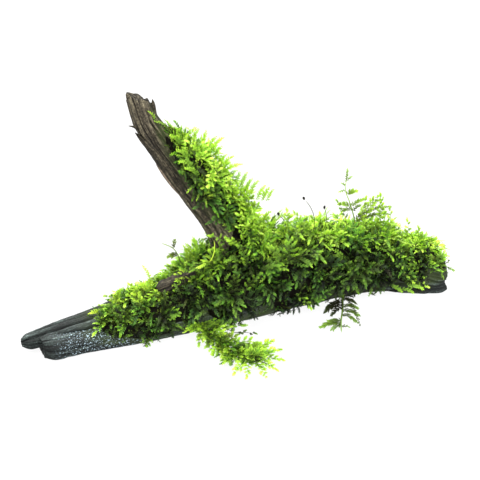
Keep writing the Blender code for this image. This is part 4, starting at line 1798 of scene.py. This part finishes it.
def wood_origin() -> Array:
    """Finds where the wood's own origin lies in the frame, in millimetres.

    The log's solid is worked out again as coarsely as it was made, and its lowest corner is set against
    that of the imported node.

    Returns:
        The origin's x, y and z.
    """
    even = np.linspace(0, 1, SOLID_RINGS)
    run = LOG_LIMB.length * (0.55 * even + 0.45 * (1 - np.cos(even * math.pi)) / 2)
    angles = np.arange(SOLID_SIDES) * 2 * math.pi / SOLID_SIDES
    along, turn = np.meshgrid(run, angles, indexing="ij")
    low = LOG_LIMB.surface(along, turn).reshape(-1, 3).min(0)
    packed = np.array(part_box("main_log")[0]) / MM
    return np.array([packed[0] - low[0], packed[1] - low[1], 0.0])


def clumps() -> dict[str, Clump]:
    """The cushions' places: as in the solids, with one more on the branch's foot."""
    return {
        "branch": Clump(BRANCH_LIMB, 69, 40, 158, 80, 3),
        "foot": Clump(BRANCH_LIMB, 20, 22, 128, 86, 17),
        "left": Clump(LOG_LIMB, 59, 31, 104, 98, 5),
        "right": Clump(LOG_LIMB, 167, 32, 100, 108, 11),
        "end": Clump(LOG_LIMB, 201, 17, 100, 90, 2),
        "fork": Clump(LOG_LIMB, 112, 41, 102, 118, 9),
    }


def build_wood(places: dict[str, Clump], origin: Array) -> Iterable[bpy.types.Object]:
    """Builds the three limbs of driftwood, and the small torn pieces on them.

    Args:
        places: the cushions' places.
        origin: where the wood's own origin lies in the frame, in millimetres.

    Returns:
        The pieces, one after the other.
    """
    slate = WetDriftwood(
        "wet bog wood, slate grey",
        ((0.0, "#020202"), (0.35, "#0C0F0E"), (0.58, "#1D2321"), (0.82, "#424B48"), (1.0, "#7A8480")),
    ).make()
    brown = WetDriftwood(
        "wet bog wood, grey brown",
        ((0.0, "#040403"), (0.3, "#16140F"), (0.55, "#353026"), (0.8, "#655E4C"), (1.0, "#8F8770")),
    ).make()
    on_log = [places[name] for name in ("left", "fork", "right", "end")]
    limbs = (
        Driftwood(
            "log_wood",
            "main_log",
            LOG_LIMB,
            slate,
            on_log,
            rows=320,
            columns=140,
            ridges=22,
            relief=0.55,
            seed=3,
            cracks=(
                Crack((150, 205), (228, 210), 1.0, 1.8),
                Crack((190, 188), (229, 192), 0.8, 1.5),
                Crack((196, 172), (229, 175), 0.7, 1.3),
                Crack((196, 158), (229, 160), 0.6, 1.1),
                Crack((180, 222), (229, 226), 0.7, 1.2),
                Crack((-5, 165), (50, 170), 0.5, 0.8),
                Crack((2, 190), (60, 186), 0.4, 0.7),
                Crack((170, 150), (224, 155), 0.6, 0.9),
            ),
            tip=blunt_end,
            wet_glint_strength=1.0,
        ),
        Driftwood(
            "prong_wood",
            "upper_prong",
            PRONG_LIMB,
            slate,
            (),
            rows=180,
            columns=100,
            ridges=14,
            relief=0.4,
            seed=21,
            cracks=(
                Crack((-4, 118), (42, 100), 0.6, 1.3),
                Crack((8, 150), (60, 148), 0.4, 0.7),
                Crack((2, 75), (60, 80), 0.4, 0.7),
            ),
            tip=blunt_end,
            stained_from=22,
        ),
        Driftwood(
            "branch_wood",
            "upright_branch",
            BRANCH_LIMB,
            brown,
            [places["branch"]],
            rows=230,
            columns=120,
            ridges=26,
            relief=0.5,
            seed=41,
            cracks=(
                Crack((60, 60), (122, 75), 0.45, 1.0),
                Crack((40, 30), (100, 25), 0.45, 0.9),
                Crack((70, 110), (118, 100), 0.4, 0.8),
            ),
            pits=(Pit(98, 112, 0.9, 1.4), Pit(89, 128, 0.8, 1.2)),
            tip=broken_tip,
        ),
    )
    for limb in limbs:
        yield limb.build(origin)
    torn = WetDriftwood(
        "torn bog wood, pale",
        ((0.0, "#14110D"), (0.3, "#3A332A"), (0.55, "#6E6152"), (0.8, "#9C8C7A"), (1.0, "#C4B4A0")),
    ).make()
    small = (
        ("log_stub", "main_log", STUB_LIMB, brown, (70, 48, 8), 0.35, 61, 5),
        ("branch_flake", "upright_branch", FLAKE_LIMB, brown, (120, 48, 7), 0.3, 64, 5),
        ("branch_torn_edge", "upright_branch", RIM_LIMB, torn, (90, 30, 5), 0.15, 65, 4),
        ("branch_spike", "upright_branch", SPIKE_LIMB, brown, (50, 30, 5), 0.2, 62, 4),
        ("branch_splinter", "upright_branch", SPLINTER_LIMB, brown, (24, 16, 3), 0.08, 63, 4),
    )
    for name, node, limb, finish, divided, relief, seed, caps in small:
        yield Driftwood(name, node, limb, finish, (), *divided, relief, seed, cap_rows=caps).build(origin)


def cushions(places: dict[str, Clump]) -> list[Cushion]:
    """The six cushions of moss.

    Args:
        places: the cushions' places.

    Returns:
        The cushions, ready to build.
    """
    aside = (0.85, 0.1, 0.5)
    return [
        Cushion(
            "moss_branch",
            "moss_branch_clump",
            places["branch"],
            tufts=22,
            singles=240,
            undergrowth=420,
            growth=BRANCH_GROWTH,
            accents=BRANCH_SHOOTS,
            sides=3.0,
            crest=aside,
            width=5.5,
            extra_painted_light=0.24,
        ),
        Cushion(
            "moss_foot",
            "moss_fork_clump",
            places["foot"],
            tufts=18,
            singles=170,
            undergrowth=220,
            growth=FOOT_GROWTH,
            accents=FOOT_SHOOTS,
            sides=4.0,
            crest=(-0.1, -0.75, 0.65),
            extra_painted_light=0.26,
        ),
        Cushion(
            "moss_left",
            "moss_left_clump",
            places["left"],
            tufts=22,
            singles=300,
            undergrowth=600,
            growth=LOG_GROWTH,
            accents=LEFT_SHOOTS,
            sides=4.5,
            fringe=FRINGE,
            width=5.0,
            extra_painted_light=0.04,
        ),
        Cushion(
            "moss_right",
            "moss_right_clump",
            places["right"],
            tufts=44,
            singles=420,
            undergrowth=900,
            growth=LOG_GROWTH,
            accents=RIGHT_SHOOTS,
            sides=5.0,
            fringe=FRINGE,
        ),
        Cushion(
            "moss_end",
            "moss_end_clump",
            places["end"],
            tufts=12,
            singles=130,
            undergrowth=300,
            growth=LOG_GROWTH,
            accents=END_SHOOTS,
            sides=3.0,
            fringe=FRINGE,
            width=4.5,
            extra_painted_light=0.1,
        ),
        Cushion(
            "moss_fork",
            "moss_fork_clump",
            places["fork"],
            tufts=46,
            singles=520,
            undergrowth=1100,
            growth=LOG_GROWTH,
            accents=FORK_SHOOTS,
            sides=7.0,
            fringe=FRINGE,
        ),
    ]


def loose_shoots() -> list[LooseShoot]:
    """The shoots that have grown out of the cushions, with their stems where the solids have them.

    Returns:
        The shoots, ready to build.
    """
    flat = (0.0, -0.3, 0.95)
    return [
        LooseShoot(
            "trailing_tuft_shoots",
            "trailing_tuft",
            [
                (-27, -9, 8),
                (-25.5, -18, 5),
                (-23, -25, 3.5),
                (-20.5, -32, 2.6),
                (-18, -39, 2),
                (-11, -49.5, 2),
            ],
            [
                SideShoot(0.2, (-31, -26, 3), 5.0, 4),
                SideShoot(0.3, (-8, -21, 4), 5.0, 4, 0.15),
                SideShoot(0.3, (-27.5, -34, 2), 5.0, 4),
                SideShoot(0.4, (-4, -28, 2.5), 3.0, 3, 0.3),
                SideShoot(0.6, (-6, -36, 3), 4.5, 4),
                SideShoot(0.92, (-23, -54, 1.6), 3.6, 6, -0.06),
                SideShoot(0.94, (-18.5, -57.5, 1.6), 3.4, 5),
                SideShoot(0.96, (-11, -62.5, 1.4), 3.6, 6, -0.06),
                SideShoot(0.96, (-5, -58, 1.6), 3.6, 6, -0.06),
                SideShoot(0.95, (0, -52, 1.6), 3.4, 5),
                SideShoot(0.94, (2, -45, 2), 3.6, 6, -0.06),
                SideShoot(0.92, (2, -37.5, 2.5), 3.4, 6, -0.06),
                SideShoot(0.9, (-5, -38.5, 3), 3.4, 5),
                SideShoot(0.95, (-13, -46, 6), 3.6, 4, 0.1),
            ],
            radius=0.7,
            age=0.5,
            tint=0.36,
            seed=51,
            face=flat,
            bushy=68,
            leaf=1.15,
        ),
        LooseShoot(
            "trailing_sprig_shoot",
            "trailing_sprig",
            [(53, -9, 6), (51, -15, 2.6), (47, -24, 1.6), (42.5, -32, 1.5), (38, -42, 1.4)],
            [
                SideShoot(0.25, (41, -18, 1.6), 1.2, 0, 0.3),
                SideShoot(0.3, (38, -22, 1.6), 1.3, 0, 0.3),
                SideShoot(0.35, (40, -25.5, 1.6), 1.2, 0, 0.3),
                SideShoot(0.2, (56, -20, 1.6), 1.1, 0, 0.25),
                SideShoot(0.35, (55, -25, 1.6), 1.1),
                SideShoot(0.45, (52.5, -31, 1.6), 1.2),
                SideShoot(0.55, (49, -36.5, 1.6), 1.1),
                SideShoot(0.7, (36, -31, 1.6), 1.1),
                SideShoot(0.75, (30.5, -34, 1.6), 1.3),
                SideShoot(0.8, (34.5, -38, 1.6), 1.1),
                SideShoot(0.85, (43.5, -39, 1.6), 1.0),
                SideShoot(0.1, (48, -42, 3.5), 0.9, 0, 0.2),
            ],
            radius=0.85,
            age=0.32,
            tint=0.45,
            seed=52,
            face=flat,
            leaf=1.2,
        ),
        LooseShoot(
            "tall_sprig_shoot",
            "tall_sprig",
            [
                (64, 2, 26),
                (64, 1, 36),
                (62, 0.5, 44),
                (59.5, 0, 51),
                (57, 0, 58.5),
                (57.8, 0, 64),
                (57.7, 0, 68.5),
            ],
            [
                SideShoot(0.5, (53.2, -1, 50.5), 1.1),
                SideShoot(0.45, (55, -1, 46), 1.0, 0, 0.1),
                SideShoot(0.5, (68.5, 0, 50), 1.0),
                SideShoot(0.42, (66, 0, 47), 1.0, 0, 0.1),
                SideShoot(0.68, (63, -0.5, 56), 1.5),
                SideShoot(0.74, (54, 0.5, 56.5), 0.9),
                SideShoot(0.8, (55, 0.5, 61.5), 0.8),
                SideShoot(0.86, (60.5, 0, 64.5), 0.8),
                SideShoot(0.85, (57.8, 0, 69), 0.7),
                SideShoot(0.3, (84, 1, 42), 0.9, 0, 0.15),
                SideShoot(0.25, (84, 1, 37.5), 0.9, 0, 0.15),
                SideShoot(0.2, (76, 2, 48), 4.0, 7),
            ],
            radius=0.45,
            age=0.45,
            tint=0.55,
            seed=53,
            leaf=1.15,
        ),
        LooseShoot(
            "end_sprig_shoot",
            "end_sprig",
            [(99, -8, 17), (103, -8, 20.5), (108, -8.2, 21.6), (113.7, -8.6, 20.6)],
            [SideShoot(0.8, (114.8, -11.5, 7), 0.4), SideShoot(0.3, (107, -13, 22), 2.0, 2)],
            radius=0.3,
            age=0.6,
            tint=0.8,
            seed=54,
        ),
        LooseShoot(
            "left_sprig_shoot",
            "left_sprig",
            [(-30, 3, 22), (-31, 2, 33), (-35, 1, 42), (-41.5, 0, 47)],
            [SideShoot(0.55, (-38, 0, 38), 1.0), SideShoot(0.7, (-34, 1, 46.5), 0.9)],
            radius=0.5,
            age=0.3,
            tint=0.7,
            seed=55,
            leaf=1.5,
        ),
    ]


def build_moss(places: dict[str, Clump], origin: Array) -> Iterable[tuple[bpy.types.Object, str]]:
    """Builds the cushions and the loose shoots.

    Args:
        places: the cushions' places.
        origin: where the wood's own origin lies in the frame, in millimetres.

    Returns:
        Each piece with a slot name: java_moss, or young_shoots for the loose shoots that are not bushy.
    """
    living = LivingMoss(
        "java moss",
        (
            (0.0, "#060906"),
            (0.2, "#142011"),
            (0.4, "#2F4D20"),
            (0.6, "#5C9230"),
            (0.8, "#98D036"),
            (1.0, "#D6F268"),
        ),
        (
            (0.0, "#120D08"),
            (0.2, "#2A2414"),
            (0.4, "#525A24"),
            (0.6, "#8AA032"),
            (0.8, "#C6DC46"),
            (1.0, "#F0FA84"),
        ),
    ).make()
    # the bed's finish: its near-black low end is painted shade deep in the cushion, as well as old moss
    bed = LivingMoss(
        "old java moss",
        ((0.0, "#040503"), (0.2, "#0E1A0A"), (0.4, "#224012"), (0.7, "#568C26"), (1.0, "#98C838")),
        ((0.0, "#080605"), (0.2, "#1C160D"), (0.4, "#3E3C16"), (0.7, "#788C28"), (1.0, "#B0C83C")),
        roughness=0.8,
        through=0.1,
        shine=0.1,
    ).make()
    for cushion in cushions(places):
        for piece in cushion.build(living, bed, origin):
            yield piece, "java_moss"
    for shoot in loose_shoots():
        slot = "java_moss" if shoot.bushy else "young_shoots"
        yield shoot.build(living, origin), slot


def main() -> None:
    """Builds the wood, the moss and the studio, and reports each piece."""
    logging.basicConfig(level=logging.INFO, format="%(message)s")
    origin = wood_origin()
    places = clumps()
    Studio().build(origin)
    for piece in build_wood(places, origin):
        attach(piece, "root")
        LOG.info("%s: %d triangles", piece.name, len(piece.data.polygons))
    for piece, slot in build_moss(places, origin):
        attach(piece, "root")
        LOG.info("%s: %d triangles", piece.name, len(piece.data.polygons))


if __name__ == "__main__":
    main()
